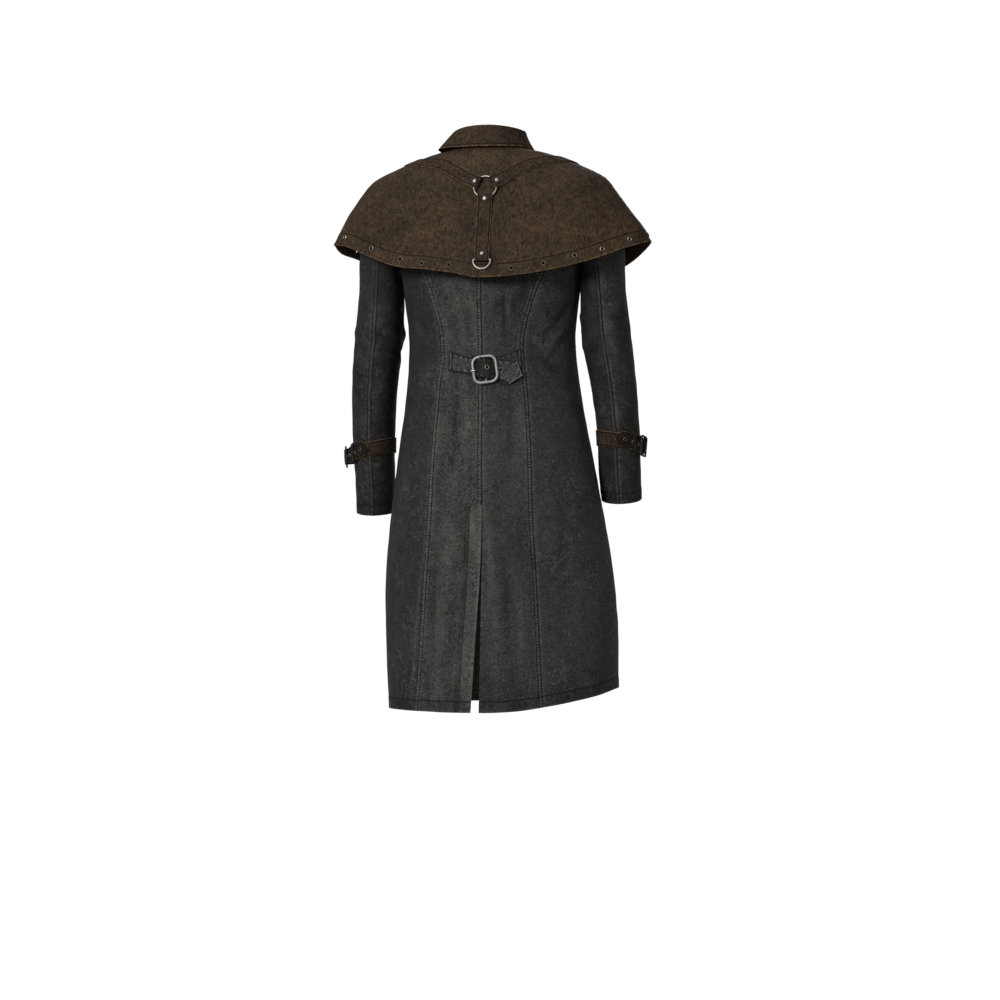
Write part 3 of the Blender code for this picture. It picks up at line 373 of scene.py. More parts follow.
def addPiece(name, mesh, crease=creaseAngles["metal"]):
    mesh.shade_smooth()
    mesh.set_sharp_from_angle(angle=math.radians(crease))
    piece = bpy.data.objects.new(name, mesh)
    bpy.context.scene.collection.objects.link(piece)
    return piece


def settle(piece, finish, slot, *nodes, body="garment"):
    piece.data.materials.append(finish)
    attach(piece, body)
    if nodes:
        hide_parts(*nodes)
    return piece


def loosePiece(name, points, faces, finish, slot, *nodes, body="garment"):
    mesh = bpy.data.meshes.new(name)
    mesh.from_pydata([tuple(point) for point in np.asarray(points) * mm], [], faces)
    return settle(addPiece(name, mesh), finish, slot, *nodes, body=body)


class Gathered:
    # small pieces joined into one
    def __init__(self):
        self.points, self.faces = [], []

    def add(self, points, faces):
        base = len(self.points)
        self.points += [tuple(point) for point in points]
        self.faces += [[base + corner for corner in face] for face in faces]

    def piece(self, name, finish, *nodes):
        return loosePiece(name, self.points, self.faces, finish, "steel", *nodes)


class Sewing:
    # stitches of one thread, gathered into one piece
    sides = 4
    bends = (0.22, 0.78)

    def __init__(self):
        self.points, self.faces, self.count = [], [], 0

    def row(self, path, off, pitch=3.3, length=2.5, wide=0.8, high=0.45, sink=0.12):
        run = arcs(path, 0)
        if run[-1] < pitch:
            return
        starts = np.arange(0.3, run[-1] - length, pitch)
        begin, end = readAt(starts, run, path), readAt(starts + length, run, path)
        up = unit(readAt(starts + length / 2, run, off))
        ahead = unit(end - begin)
        side = unit(np.cross(up, ahead))
        rings = []
        for part in self.bends:
            middle = begin + (end - begin) * part
            for swing in np.arange(self.sides) * 2 * math.pi / self.sides:
                rise = high / 2 * math.sin(swing) + high / 3
                rings.append(middle + side * wide / 2 * math.cos(swing) + up * rise)
        stitches = np.stack([begin - sink * up] + rings + [end - sink * up], axis=1)
        count, size = stitches.shape[:2]
        n = self.sides
        plan = []
        for k in range(n):
            j = (k + 1) % n
            plan += [(0, 1 + j, 1 + k), (1 + k, 1 + j, 1 + n + j), (1 + k, 1 + n + j, 1 + n + k),
                     (1 + n + k, 1 + n + j, 2 * n + 1)]
        base = self.count + np.arange(count)[:, None, None] * size
        self.faces.append((base + np.array(plan)[None]).reshape(-1, 3))
        self.points.append(stitches.reshape(-1, 3))
        self.count += count * size

    def piece(self, name, finish, slot):
        mesh = arrayMesh(name, np.concatenate(self.points), np.concatenate(self.faces))
        return settle(addPiece(name, mesh, creaseAngles["thread"]), finish, slot)


coatSewing, capeSewing = Sewing(), Sewing()


# finishes

class Wire:
    # a socket, so that sums can be written as sums
    def __init__(self, finish, socket):
        self.finish, self.socket = finish, socket

    def sum(self, operation, first, second=0.0):
        return self.finish.node("ShaderNodeMath", {"operation": operation}, {0: first, 1: second})

    def __add__(self, other):
        return self.sum("ADD", self, other)

    def __radd__(self, other):
        return self.sum("ADD", other, self)

    def __sub__(self, other):
        return self.sum("SUBTRACT", self, other)

    def __rsub__(self, other):
        return self.sum("SUBTRACT", other, self)

    def __mul__(self, other):
        return self.sum("MULTIPLY", self, other)

    def __rmul__(self, other):
        return self.sum("MULTIPLY", other, self)

    def __truediv__(self, other):
        return self.sum("DIVIDE", self, other)

    def __pow__(self, other):
        return self.sum("POWER", self, other)

    def __abs__(self):
        return self.sum("ABSOLUTE", self)

    def least(self, other):
        return self.sum("MINIMUM", self, other)

    def sine(self):
        return self.sum("SINE", self)

    def clip(self):
        return self.finish.node("ShaderNodeClamp", {}, {"Value": self})


class Finish:
    # a material, with one way to add any node
    def __init__(self, name, roughness, metallic=0.0, shine=0.5):
        self.material = bpy.data.materials.new(name)
        self.material.use_nodes = True
        self.tree = self.material.node_tree
        self.shader = self.tree.nodes["Principled BSDF"]
        self.put("Roughness", roughness)
        self.put("Metallic", metallic)
        self.put("Specular IOR Level", shine)

    def feed(self, target, value):
        if isinstance(value, Wire):
            self.tree.links.new(value.socket, target)
        else:
            target.default_value = value

    def put(self, socket, value):
        self.feed(self.shader.inputs[socket], value)

    def node(self, kind, settings=None, sockets=None, out=0):
        made = self.tree.nodes.new(kind)
        for word, value in (settings or {}).items():
            setattr(made, word, value)
        for word, value in (sockets or {}).items():
            self.feed(made.inputs[word], value)
        return Wire(self, made.outputs[out])

    def place(self):
        return self.node("ShaderNodeTexCoord", out="Object")

    def stretched(self, scale):
        return self.node("ShaderNodeVectorMath", {"operation": "MULTIPLY"}, {0: self.place(), 1: scale})

    def noise(self, where, scale, detail=3.0, rough=0.55, twist=0.0):
        return self.node("ShaderNodeTexNoise", {}, {
            "Vector": where, "Scale": scale, "Detail": detail, "Roughness": rough, "Distortion": twist})

    def mark(self, word):
        return self.node("ShaderNodeAttribute", {"attribute_name": word}, out="Fac")

    def mix(self, factor, one, two):
        return self.node("ShaderNodeMix", {"data_type": "RGBA"}, {0: factor, 6: one, 7: two}, out=2)

    def veins(self, where, scale, thin, twist=0.8):
        # thin wandering lines where a noise crosses its middle
        wander = self.noise(where, scale, 4.0, 0.6, twist)
        return (1.0 - abs(wander - 0.5) * thin).clip()

    def cut(self, axis):
        # the place across (0) or along (1) the flat cloth, in metres
        flat = self.node("ShaderNodeUVMap", {"uv_map": "cut"})
        return self.node("ShaderNodeSeparateXYZ", {}, {0: flat}, out=axis)

    def twill(self, pitch):
        # slanting ribs of the cloth, from the cut's own sizes
        turns = (self.cut(0) + self.cut(1)) * (2 * math.pi / pitch)
        return turns.sine() * 0.5 + 0.5

    def relief(self, height, strength, distance):
        self.put("Normal", self.node("ShaderNodeBump", {}, {
            "Strength": strength, "Distance": distance, "Height": height}))


def spread(finish, **markings):
    # a level that each marking moves up or down
    level = finish["level"]
    for word, marking in markings.items():
        level = level + (marking - 0.5) * finish[word]
    return level


def nearest(distance, rows):
    # how near a place is to any of the sewn rows, in millimetres
    found = abs(distance - rows[0])
    for row in rows[1:]:
        found = found.least(abs(distance - row))
    return found


coatFinish = {
    "dark": (0.0024, 0.0024, 0.0023, 1),
    "light": (0.046, 0.0438, 0.0392, 1),
    "worn": (0.070, 0.068, 0.064, 1),
    # near black: the stitch lines, the dark flecks and the painted shade of deep all mix towards it
    "thread": (0.0008, 0.0008, 0.0008, 1),
    "level": 0.195,
    # how far each marking moves the level
    "cloud": 0.20,
    "blotch": 0.24,
    "grain": 1.45,
    "rubAndShading": 0.29,
    "rib": 0.05,
    "roughness": 0.82,
    "shine": 0.07,
    "ribPitch": 0.0016,
}
coatCloths = []


@functools.lru_cache(None)
def coatCloth(startRows=(), endRows=(), hemRows=(), flapRows=(), deep=0.0, streak=0.22, crinkle=0.26,
              wornEdge=0.0, pitch=0.0056, ladder=None, puckers=0.26):
    word = "charcoal_twill_%d" % (len(coatCloths) + 1)
    cloth = Finish(word, coatFinish["roughness"], shine=coatFinish["shine"])
    where = cloth.place()
    cloud = cloth.noise(where, 7.0, 3.0, 0.55)
    blotch = cloth.noise(where, 60.0, 6.0, 0.70, 0.3)
    grain = cloth.noise(where, 300.0, 3.0, 0.80)
    # vertical light and dark streaks: wash streaks, and also painted light and shade of fine vertical folds
    fall = cloth.noise(cloth.stretched((34.0, 34.0, 2.6)), 1.0, 3.0, 0.55)
    patches = (cloth.noise(where, 13.0, 3.0, 0.55) * 3.4 - 1.35).clip()
    gathers = (cloth.noise(where, 90.0, 2.0) * 3.0 - 0.9).clip()
    crackle = cloth.veins(where, 30.0, 30.0, 1.4) * patches * gathers
    # this mark holds rubbed wear and also painted light and shade: darker hems, vent edges and fold hollows,
    # paler fold ridges
    rubAndShading = cloth.mark("rubAndShading")
    rib = cloth.twill(coatFinish["ribPitch"])
    level = (spread(coatFinish, cloud=cloud, blotch=blotch, grain=grain, rib=rib) + (fall - 0.5) * streak
             + crackle * crinkle + rubAndShading * coatFinish["rubAndShading"])
    high = rib * 0.5 + grain * 0.8 + blotch * 2.4 + crackle
    gaps, rungs = [], None
    sewn = {"fromStart": startRows, "fromEnd": endRows, "fromHem": hemRows, "fromFlap": flapRows}
    for side, rows in sewn.items():
        if rows:
            gaps.append(nearest(cloth.mark(side), rows) - (0.5 if side == "fromHem" else 0.0))
        if len(rows) == 2 or (ladder and rows and side != "fromHem"):
            # the puckers beside the stitches
            middle, reach = ladder or (sum(rows) / 2, 0.5 * (rows[1] - rows[0]))
            turns = (cloth.cut(1) + (blotch - 0.5) * 0.006) * (2 * math.pi / pitch)
            band = (1.25 - abs(cloth.mark(side) - middle) / reach).clip()
            uneven = ((blotch - 0.5) * 2.0 + (cloud - 0.5) * 3.0 + 0.85).clip()
            pucker = band * (turns.sine() * 1.1 + 0.10) * uneven
            level, high, rungs = level + pucker * puckers, high + pucker * 1.6, pucker
            level = level + (1.0 - abs(cloth.mark(side) - rows[-1] - 3.0) / 2.2).clip() * blotch * 0.16
    colour = cloth.mix(level.clip(), coatFinish["dark"], coatFinish["light"])
    fleck = ((0.44 - grain) * 7.0).clip() * 0.26
    # deep darkens the whole piece towards near black, which is painted shade on the sides, fronts, sleeves
    # and under belt; the pale specks weaken and the pale puckers grow with it
    colour = cloth.mix((fleck + deep).clip(), colour, coatFinish["thread"])
    pale = ((grain - 0.60) * 8.0).clip() * (0.09 - 0.05 * deep) + crackle * (crinkle * 0.34)
    if rungs is not None and not ladder:
        pale = pale + rungs.clip() * (deep * 0.24)
    colour = cloth.mix(pale.clip(), colour, coatFinish["worn"])
    if gaps:
        gap = gaps[0]
        for other in gaps[1:]:
            gap = gap.least(other)
        line = (1.55 - gap).clip() * ((blotch - 0.5) * 2.4 + 0.9).clip() * 0.9
        colour = cloth.mix(line, colour, coatFinish["thread"])
    if wornEdge:
        chafe = ((1.0 - cloth.mark("fromEdge") / wornEdge) * 1.6 + (blotch - 0.5) * 1.6).clip() * 0.65
        colour = cloth.mix(chafe, colour, coatFinish["worn"])
    cloth.put("Base Color", colour)
    cloth.put("Roughness", (coatFinish["roughness"] + (blotch - 0.5) * 0.2).clip())
    cloth.relief(high, 0.6, 0.0006)
    coatCloths.append(word)
    return cloth.material


capeFinish = {
    "dark": (0.0026, 0.0021, 0.0014, 1),
    "middle": (0.0164, 0.0112, 0.0066, 1),
    "rust": (0.0340, 0.0166, 0.0062, 1),
    "worn": (0.060, 0.035, 0.0165, 1),
    "thread": (0.0014, 0.0011, 0.0008, 1),
    "level": 0.50,
    "cloud": 0.50,
    "flake": 1.2,
    "grain": 1.9,
    "stroke": 1.0,
    "rib": 0.06,
    "rubAndShading": 0.26,
    "roughness": 0.80,
    "shine": 0.03,
    "ribPitch": 0.0016,
}


@functools.lru_cache(None)
def capeCloth(word, hemRows=(), edgeRows=(), wornEdge=0.0, shade=0.0, rusty=1.0):
    cloth = Finish(word, capeFinish["roughness"], shine=capeFinish["shine"])
    where = cloth.place()
    cloud = cloth.noise(where, 9.0, 3.0, 0.55)
    flake = cloth.noise(where, 62.0, 8.0, 0.76, 0.5)
    brush = cloth.noise(cloth.stretched((210.0, 210.0, 90.0)), 1.0, 5.0, 0.74, 0.4)
    grain = cloth.noise(cloth.stretched((300.0, 300.0, 150.0)), 1.0, 3.0, 0.80)
    stroke = cloth.noise(cloth.stretched((240.0, 240.0, 26.0)), 1.0, 3.0, 0.65)
    island = ((cloth.noise(where, 36.0, 8.0, 0.66, 0.7) - 0.54) * 11.0).clip()
    # this mark holds rubbed wear and also painted light, the lighter top of the cape
    rubAndShading = cloth.mark("rubAndShading")
    rib = cloth.twill(capeFinish["ribPitch"])
    level = spread(capeFinish, cloud=cloud, flake=flake, grain=grain, stroke=stroke, rib=rib)
    level = (level + shade + rubAndShading * capeFinish["rubAndShading"]).clip()
    colour = cloth.mix(level, capeFinish["dark"], capeFinish["middle"])
    rust = ((brush - 0.52) * 5.0 + (cloud - 0.5) * 2.0 + (flake - 0.5) * 2.8 + shade).clip() * (0.52 * rusty)
    colour = cloth.mix(rust, colour, capeFinish["rust"])
    colour = cloth.mix(island * 0.42, colour, capeFinish["dark"])
    colour = cloth.mix(((0.46 - grain) * 8.0).clip() * 0.6, colour, capeFinish["thread"])
    colour = cloth.mix(((grain - 0.60) * 7.0).clip() * 0.16 * rusty, colour, capeFinish["worn"])
    edge = cloth.mark("fromEdge")
    if wornEdge:
        inward = edge / wornEdge
        chafe = ((1.0 - inward) * 1.2 + (brush - 0.55) * 6.5).clip() * (1.5 - inward * 0.5).clip() * 0.7
        colour = cloth.mix(chafe, colour, capeFinish["worn"])
    gaps = []
    if hemRows:
        gaps.append(nearest(cloth.mark("fromHem"), hemRows))
    if edgeRows:
        gaps.append(nearest(edge, edgeRows))
    if gaps:
        gap = gaps[0] if len(gaps) == 1 else gaps[0].least(gaps[1])
        halo = (1.7 - gap * 0.45).clip() * ((brush - 0.42) * 2.6).clip() * (0.42 * rusty)
        colour = cloth.mix(halo, colour, capeFinish["worn"])
        line = (2.0 - gap * 0.95).clip() * ((flake - 0.5) * 2.0 + 0.95).clip() * 0.92
        colour = cloth.mix(line, colour, capeFinish["thread"])
    cloth.put("Base Color", colour)
    cloth.put("Roughness", (capeFinish["roughness"] - rust * 0.12 + (grain - 0.5) * 0.15).clip())
    cloth.relief(rib * 0.5 + grain * 0.9 + flake * 2.2 + brush * 0.8, 0.6, 0.0006)
    return cloth.material


metalFinish = {"bright": (0.098, 0.095, 0.090, 1), "dull": (0.017, 0.016, 0.0145, 1), "roughness": 0.46}


def metal(word, wear=0.5, dark=0.0, dull=metalFinish["dull"]):
    steel = Finish(word, metalFinish["roughness"], metallic=1.0)
    where = steel.place()
    spots = steel.noise(where, 420.0, 4.0, 0.65)
    scratch = steel.noise(steel.stretched((900.0, 2600.0, 300.0)), 1.0, 2.0, 0.6)
    tarnish = ((spots - 0.5) * 3.0 * wear + dark).clip()
    steel.put("Base Color", steel.mix(tarnish, metalFinish["bright"], dull))
    steel.put("Roughness", (metalFinish["roughness"] + tarnish * 0.25 + (scratch - 0.5) * 0.15).clip())
    steel.relief(scratch, 0.12, 0.0002)
    return steel.material


def threadFinish(word, colour):
    thread = Finish(word, 0.85, shine=0.04)
    twist = thread.noise(thread.place(), 1500.0, 2.0)
    paler = tuple(min(1.0, 2.4 * value) for value in colour[:3]) + (1,)
    thread.put("Base Color", thread.mix(twist, colour, paler))
    thread.relief(twist, 0.3, 0.0002)
    return thread.material


def hornFinish():
    horn = Finish("dark_horn", 0.5, shine=0.12)
    swirl = horn.noise(horn.place(), 160.0, 4.0, 0.6, 1.2)
    horn.put("Base Color", horn.mix(swirl, (0.006, 0.005, 0.0045, 1), (0.030, 0.023, 0.018, 1)))
    horn.put("Roughness", (swirl * 0.3 + 0.40).clip())
    return horn.material


silver = metal("silver_metal")
buckleMetal = metal("buckle_metal", 0.30, 0.40)
eyeletMetal = metal("eyelet_metal", 0.9, 0.34)
tabMetal = metal("tab_metal", 0.7, 0.72)
# near-black metal for the eyelet barrels: painted shade inside the holes
holeShadeMetal = metal("hole_shade_metal", 0.0, 1.0, (0.0012, 0.0011, 0.0010, 1))
darkMetal = metal("dark_metal", 0.3, 0.95, (0.0060, 0.0055, 0.0050, 1))
blackThread = threadFinish("black_thread", (0.0012, 0.0012, 0.0012, 1))
brownThread = threadFinish("brown_thread", (0.0026, 0.0019, 0.0013, 1))
horn = hornFinish()
print("coat: finishes made")


# cloth panels cut between two seams

seamPlain = {
    "rows": (), "band": 0.0, "high": 0.0, "dip": 1.1, "pucker": 0.34, "reach": 6.0, "length": 15.0,
    "fine": (0, 0.7, 1.7, 3.2, 5.2, 8.0, 11.5),
}
seamFelled = {
    "rows": (1.3, 8.0), "band": 9.0, "high": 0.85, "dip": 1.1, "pucker": 0.55, "reach": 8.5, "length": 11.0,
    "fine": (0, 0.6, 1.3, 2.1, 3.3, 4.7, 6.1, 7.2, 8.0, 8.9, 10.2, 12.4),
}
edgeTurned = {
    "rows": (7.0,), "band": 9.0, "high": 0.5, "dip": 0.0, "pucker": 0.25, "reach": 9.0, "length": 16.0,
    "fine": (0, 0.6, 1.4, 3.2, 5.2, 6.4, 7.6, 9.0, 11.5),
}
hemTurned = {"shade": 0.15, "high": 0.6, "pucker": 0.45, "reach": 9.0, "length": 19.0}
farAway = 99.0


def seamLift(distance, along, seam, seed):
    lift = -seam["dip"] * bump(distance / 1.2)
    if seam["band"]:
        lift = lift + seam["high"] * (1 - smooth(seam["band"] - 0.6, seam["band"] + 1.0, distance))
    wave = ripple(along, seed, seam["length"])
    beside = bump(distance / seam["reach"])
    lift = lift + seam["pucker"] * wave * beside
    for row in seam["rows"]:
        lift = lift - 0.28 * bump((distance - row) / 0.8)
    return lift, 0.75 * np.clip(wave, -0.8, 1.4) * beside + 0.55 * bump((distance - 2.5) / 3.0)


def columnPlaces(width, first, last, middle):
    # places across every row, close together beside the seams
    first, last = np.asarray(first, float), np.asarray(last, float)
    shrink = np.minimum(1.0, width / (first[-1] + last[-1]) / 1.15)[:, None]
    low, high = first[None] * shrink, width[:, None] - last[None, ::-1] * shrink
    between = low[:, -1:] + (high[:, :1] - low[:, -1:]) * np.linspace(0, 1, middle + 2)[None, 1:-1]
    return np.concatenate([low, between, high], axis=1)


def evenRows(surface, edges, top, foot, step):
    # rows at even distances down the middle of a panel
    fine = np.linspace(top, foot, 1200)
    run = arcs(surface(sum(edges(fine)) / 2, fine), 0)
    count = max(8, int(round(run[-1] / step)))
    return np.interp(np.linspace(0, run[-1], count + 1), run, fine)


def layOut(surface, edges, numbers, seams, columnStep, samples, gap, sign=1.0):
    # a panel's rows of places from seam to seam, with their points and ways off the wall
    start, end = (np.asarray(edge, float)[:, None] for edge in edges(numbers))
    parts = np.linspace(0, 1, samples)
    run = arcs(surface(start + (end - start) * parts, numbers[:, None]), 1)
    width = run[:, -1]
    middle = max(4, int(np.max(width) / columnStep))
    places = columnPlaces(width - 2 * gap, seams[0]["fine"], seams[1]["fine"], middle) + gap
    share = np.stack([np.interp(place, line, parts) for place, line in zip(places, run)])
    angle = start + (end - start) * share
    number = np.broadcast_to(numbers[:, None], angle.shape)
    points = surface(angle, number)
    down = arcs(points, 0)
    return {"angle": angle, "points": points, "off": facing(surface, angle, number, sign), "down": down,
            "fromStart": places, "fromEnd": width[:, None] - places, "fromHem": down[-1:] - down,
            "uv": np.stack([places - width[:, None] / 2, down], axis=-1)}


def panel(node, surface, edges, top, foot, seams, seeds, finish, sizes, sign=1.0, extra=None, sewnFrom=None,
          tops=()):
    numbers = evenRows(surface, edges, top, foot, sizes["rowStep"])
    numbers = np.unique(np.concatenate([numbers, tops]))
    laid = layOut(surface, edges, numbers, seams, sizes["columnStep"], 60, sizes["seamGap"], sign)
    points, off = laid["points"], laid["off"]
    fromStart, fromEnd, fromHem = laid["fromStart"], laid["fromEnd"], laid["fromHem"]
    liftStart, rubStart = seamLift(fromStart, -points[..., 2], seams[0], seeds[0])
    liftEnd, rubEnd = seamLift(fromEnd, -points[..., 2], seams[1], seeds[1])
    crumpleSize, crumpleHigh = sizes["crumple"]
    lift = liftStart + liftEnd + crumpleHigh * crumple(points, 7, crumpleSize)
    rubAndShading = rubStart + rubEnd + 0.08 * crumple(points, 11, 19.0) + sizes["mottle"] * crumple(points, 13, 52.0)
    row = sizes["hemStitch"]
    wave = ripple(fromStart + laid["angle"] * 0.9, 4.1 + seeds[0], hemTurned["length"])
    wave = wave * smooth(0, 10, np.minimum(fromStart, fromEnd))
    lift = lift + hemTurned["high"] * (1 - smooth(row - 0.5, row + 2.0, fromHem))
    lift = lift + hemTurned["pucker"] * wave * bump((fromHem - row * 0.6) / hemTurned["reach"])
    lift = lift - 0.3 * bump((fromHem - row) / 1.4)
    rubAndShading = rubAndShading + 0.5 * wave * bump((fromHem - row) / 7.0) + 0.7 * bump(fromHem / 2.5)
    rubAndShading = rubAndShading - hemTurned["shade"] * (1 - smooth(row - 2, row + 3, fromHem))
    # darker over the lowest 90 mm: painted shade
    rubAndShading = rubAndShading - 0.25 * (1 - smooth(20, 90, fromHem))
    if extra is not None:
        more, moreRub = extra(laid)
        lift, rubAndShading = lift + more, rubAndShading + moreRub
    # rubbed lines, and painted highlights and painted shade of folds, on the sides that face back
    for fromX, fromZ, toX, toZ, wide, much in sizes["worn"]:
        span = np.array([toX - fromX, toZ - fromZ])
        aside = points[..., (0, 2)] - np.array([fromX, fromZ])
        part = np.clip(aside @ span / span.dot(span), 0, 1)
        away = np.linalg.norm(aside - part[..., None] * span, axis=-1)
        rubAndShading = rubAndShading + much * bump(away / wide) * np.sin(math.pi * part) ** 0.5 * (off[..., 1] > 0)
    outer = points + off * lift[..., None]
    closed = np.ones(rubAndShading.shape, bool) if sewnFrom is None else points[..., 2] > sewnFrom
    marks = {"fromStart": np.where(closed, fromStart, farAway), "fromEnd": fromEnd, "fromHem": fromHem,
             "fromFlap": np.where(closed, farAway, fromStart), "rubAndShading": rubAndShading}
    piece = gridPiece(node + "_cloth", outer, outer - off * sizes["wall"], laid["uv"], marks, off)
    settle(piece, finish, "coat_twill", node)
    grid = dict(laid, piece=piece, outer=outer)
    sewSeams(coatSewing, grid, seams, sewnFrom)
    sewAcross(coatSewing, grid, row)
    return grid


def lineAcross(grid, word, distance):
    # the line down a panel at one distance from a seam
    path, off = [], []
    for values, outer, ways in zip(grid[word], grid["outer"], grid["off"]):
        order = np.argsort(values)
        path.append(readAt(distance, values[order], outer[order]))
        off.append(readAt(distance, values[order], ways[order]))
    return np.array(path), np.array(off)


def sewDown(sewing, grid, word, distance, above=None, below=None):
    path, off = lineAcross(grid, word, distance)
    keep = np.ones(len(path), bool)
    if above is not None:
        keep &= path[:, 2] > above
    if below is not None:
        keep &= path[:, 2] < below
    if keep.sum() > 2:
        sewing.row(path[keep], off[keep])


def sewSeams(sewing, grid, seams, above=None):
    # the rows beside both seams, the first seam's only above a height
    for word, seam, limit in (("fromStart", seams[0], above), ("fromEnd", seams[1], None)):
        for row in seam["rows"]:
            sewDown(sewing, grid, word, row, limit)


def sewAcross(sewing, grid, distance):
    # one row of stitches along a hem
    path, off = [], []
    for column, line in enumerate(grid["fromHem"][::-1].T):
        path.append(readAt(distance, line, grid["outer"][::-1, column]))
        off.append(readAt(distance, line, grid["off"][::-1, column]))
    sewing.row(np.array(path), np.array(off))


def seamAngles(number, side):
    columns = rowsAt(coat["rings"], number)
    return np.degrees(np.arccos(np.clip(columns[..., 8] / columns[..., 0 if side > 0 else 1], -1, 1)))


def armholeAngle(number, most):
    span = coat["armpit"] - coat["shoulderTip"]
    part = np.clip((np.asarray(number, float) - coat["shoulderTip"]) / span, 0.0, 1.0)
    return most * np.sin(math.pi * part) ** 0.6


def armhole(number, most):
    inside = (number > coat["shoulderTip"]) & (number < coat["armpit"])
    return np.where(inside, armholeAngle(number, most), 0.0)


def sideShift(number, side):
    # the right side seam swings a little towards the back below the waist
    return coat["sideSeamShift"] * smooth(6.5, 9.0, number) * (side < 0)


def backEdges(side):
    def edges(number):
        columns = rowsAt(coat["rings"], number)
        x = columns[..., 9] + side * columns[..., 10] / 2
        half = np.where(x >= 0, columns[..., 0], columns[..., 1])
        middle = np.degrees(np.arccos(np.clip(x / half, -1, 1)))
        atArmhole, atSeam = armhole(number, coat["armholeBack"]), seamAngles(number, side)
        outer = np.where(number < coat["sideBackTop"], atArmhole, atSeam)
        return middle, outer if side > 0 else 180 - outer
    return edges


def sideBackEdges(side):
    def edges(number):
        inner = seamAngles(number, side)
        outer = armhole(number, coat["armholeBack"]) + sideShift(number, side)
        return (inner, outer) if side > 0 else (180 - inner, 180 - outer)
    return edges


def frontEdges(side):
    def edges(number):
        outer = sideShift(number, side) - armhole(number, coat["armholeFront"])
        past = rowsAt(coat["rings"], number)[..., 1 if side > 0 else 0]
        middle = -90 - np.degrees(np.arcsin(coat["frontOverlap"] / past))
        return (outer, middle) if side > 0 else (180 - outer, 180 - middle)
    return edges


vent = {"flapRow": 25.0, "high": 0.9, "fold": 27.0, "edgeWorn": 0.8}


def ventFlap(laid):
    # the doubled flap beside the vent, its worn folded edge, and painted shadow just past the flap's inner
    # fold
    down, fromStart = -laid["points"][..., 2], laid["fromStart"]
    fold, row = vent["fold"], vent["flapRow"]
    below = smooth(-coat["ventTop"] - 6, -coat["ventTop"] + 6, down)
    lift = vent["high"] * below * (1 - smooth(fold - 1.5, fold + 0.5, fromStart))
    lift = lift - 0.35 * below * bump((fromStart - row) / 1.2)
    lift = lift + 0.5 * below * ripple(down, 2.7, 31.0) * bump((fromStart - 12) / 12)
    rubAndShading = below * (vent["edgeWorn"] * bump(fromStart / 2.2) + 0.16 * (1 - smooth(fold - 4, fold, fromStart))
                   - 0.5 * bump((fromStart - fold - 3) / 4.0))
    return lift, rubAndShading


def ventUnder(laid):
    # the under panel sinks beside the vent, with painted shadow along its edge
    below = smooth(-coat["ventTop"], -coat["ventTop"] + 60, -laid["points"][..., 2])
    return -1.2 * below * bump(laid["fromStart"] / 16), -0.5 * below * bump(laid["fromStart"] / 7)


def underLap(laid):
    return -coat["underlapDrop"] * smooth(-80, -38, laid["points"][..., 0]), 0.0


coatSheets = {}
coatFront = dict(coat, rowStep=coat["frontRowStep"], columnStep=coat["frontColumnStep"])
hemRows = (coat["hemStitch"],)
for side, word in ((1, "left"), (-1, "right")):
    centre = seamFelled if side > 0 else seamPlain
    flapRows = (vent["flapRow"],) if side > 0 else ()
    node = "back_" + word
    cloth = coatCloth(centre["rows"], seamFelled["rows"], hemRows, flapRows, **coat["looks"][node])
    coatSheets[node] = panel(
        node, coatPoint, backEdges(side), 0.0, coat["hem"], (centre, seamFelled), (1.0, 2.0 + side), cloth,
        coat, extra=ventFlap if side > 0 else ventUnder, sewnFrom=coat["ventTop"],
        tops=coat["shoulderRows"] + coat["sideBackRows"])
    node = "side_back_" + word
    cloth = coatCloth((), (0.4,), hemRows, **coat["looks"][node])
    coatSheets[node] = panel(
        node, coatPoint, sideBackEdges(side), coat["sideBackTop"] + 0.001, coat["hem"],
        (seamPlain, seamPlain), (2.0 + side, 5.0 + side), cloth, coat, tops=coat["armpitRows"])
    node = "front_" + word
    cloth = coatCloth((), edgeTurned["rows"], hemRows, **coat["looks"]["front"])
    coatSheets[node] = panel(
        node, coatPoint, frontEdges(side), 0.0, coat["hem"], (seamPlain, edgeTurned), (5.0 + side, 8.0),
        cloth, coatFront, extra=None if side > 0 else underLap,
        tops=coat["shoulderRows"] + coat["armpitRows"])
flap = coatSheets["back_left"]
sewDown(coatSewing, flap, "fromStart", vent["flapRow"], below=coat["ventTop"])
slant = [int(np.argmin(abs(flap["points"][:, 0, 2] - coat["ventTop"] - k))) for k in (-4, 4)]
corner = lineAcross(flap, "fromStart", vent["flapRow"])
tip = lineAcross(flap, "fromStart", 0.6)
coatSewing.row(*(np.array([low[slant[0]], high[slant[1]]]) for low, high in zip(corner, tip)))
print("coat: body panels cut and sewn")


# sleeves, each an upper and an under piece

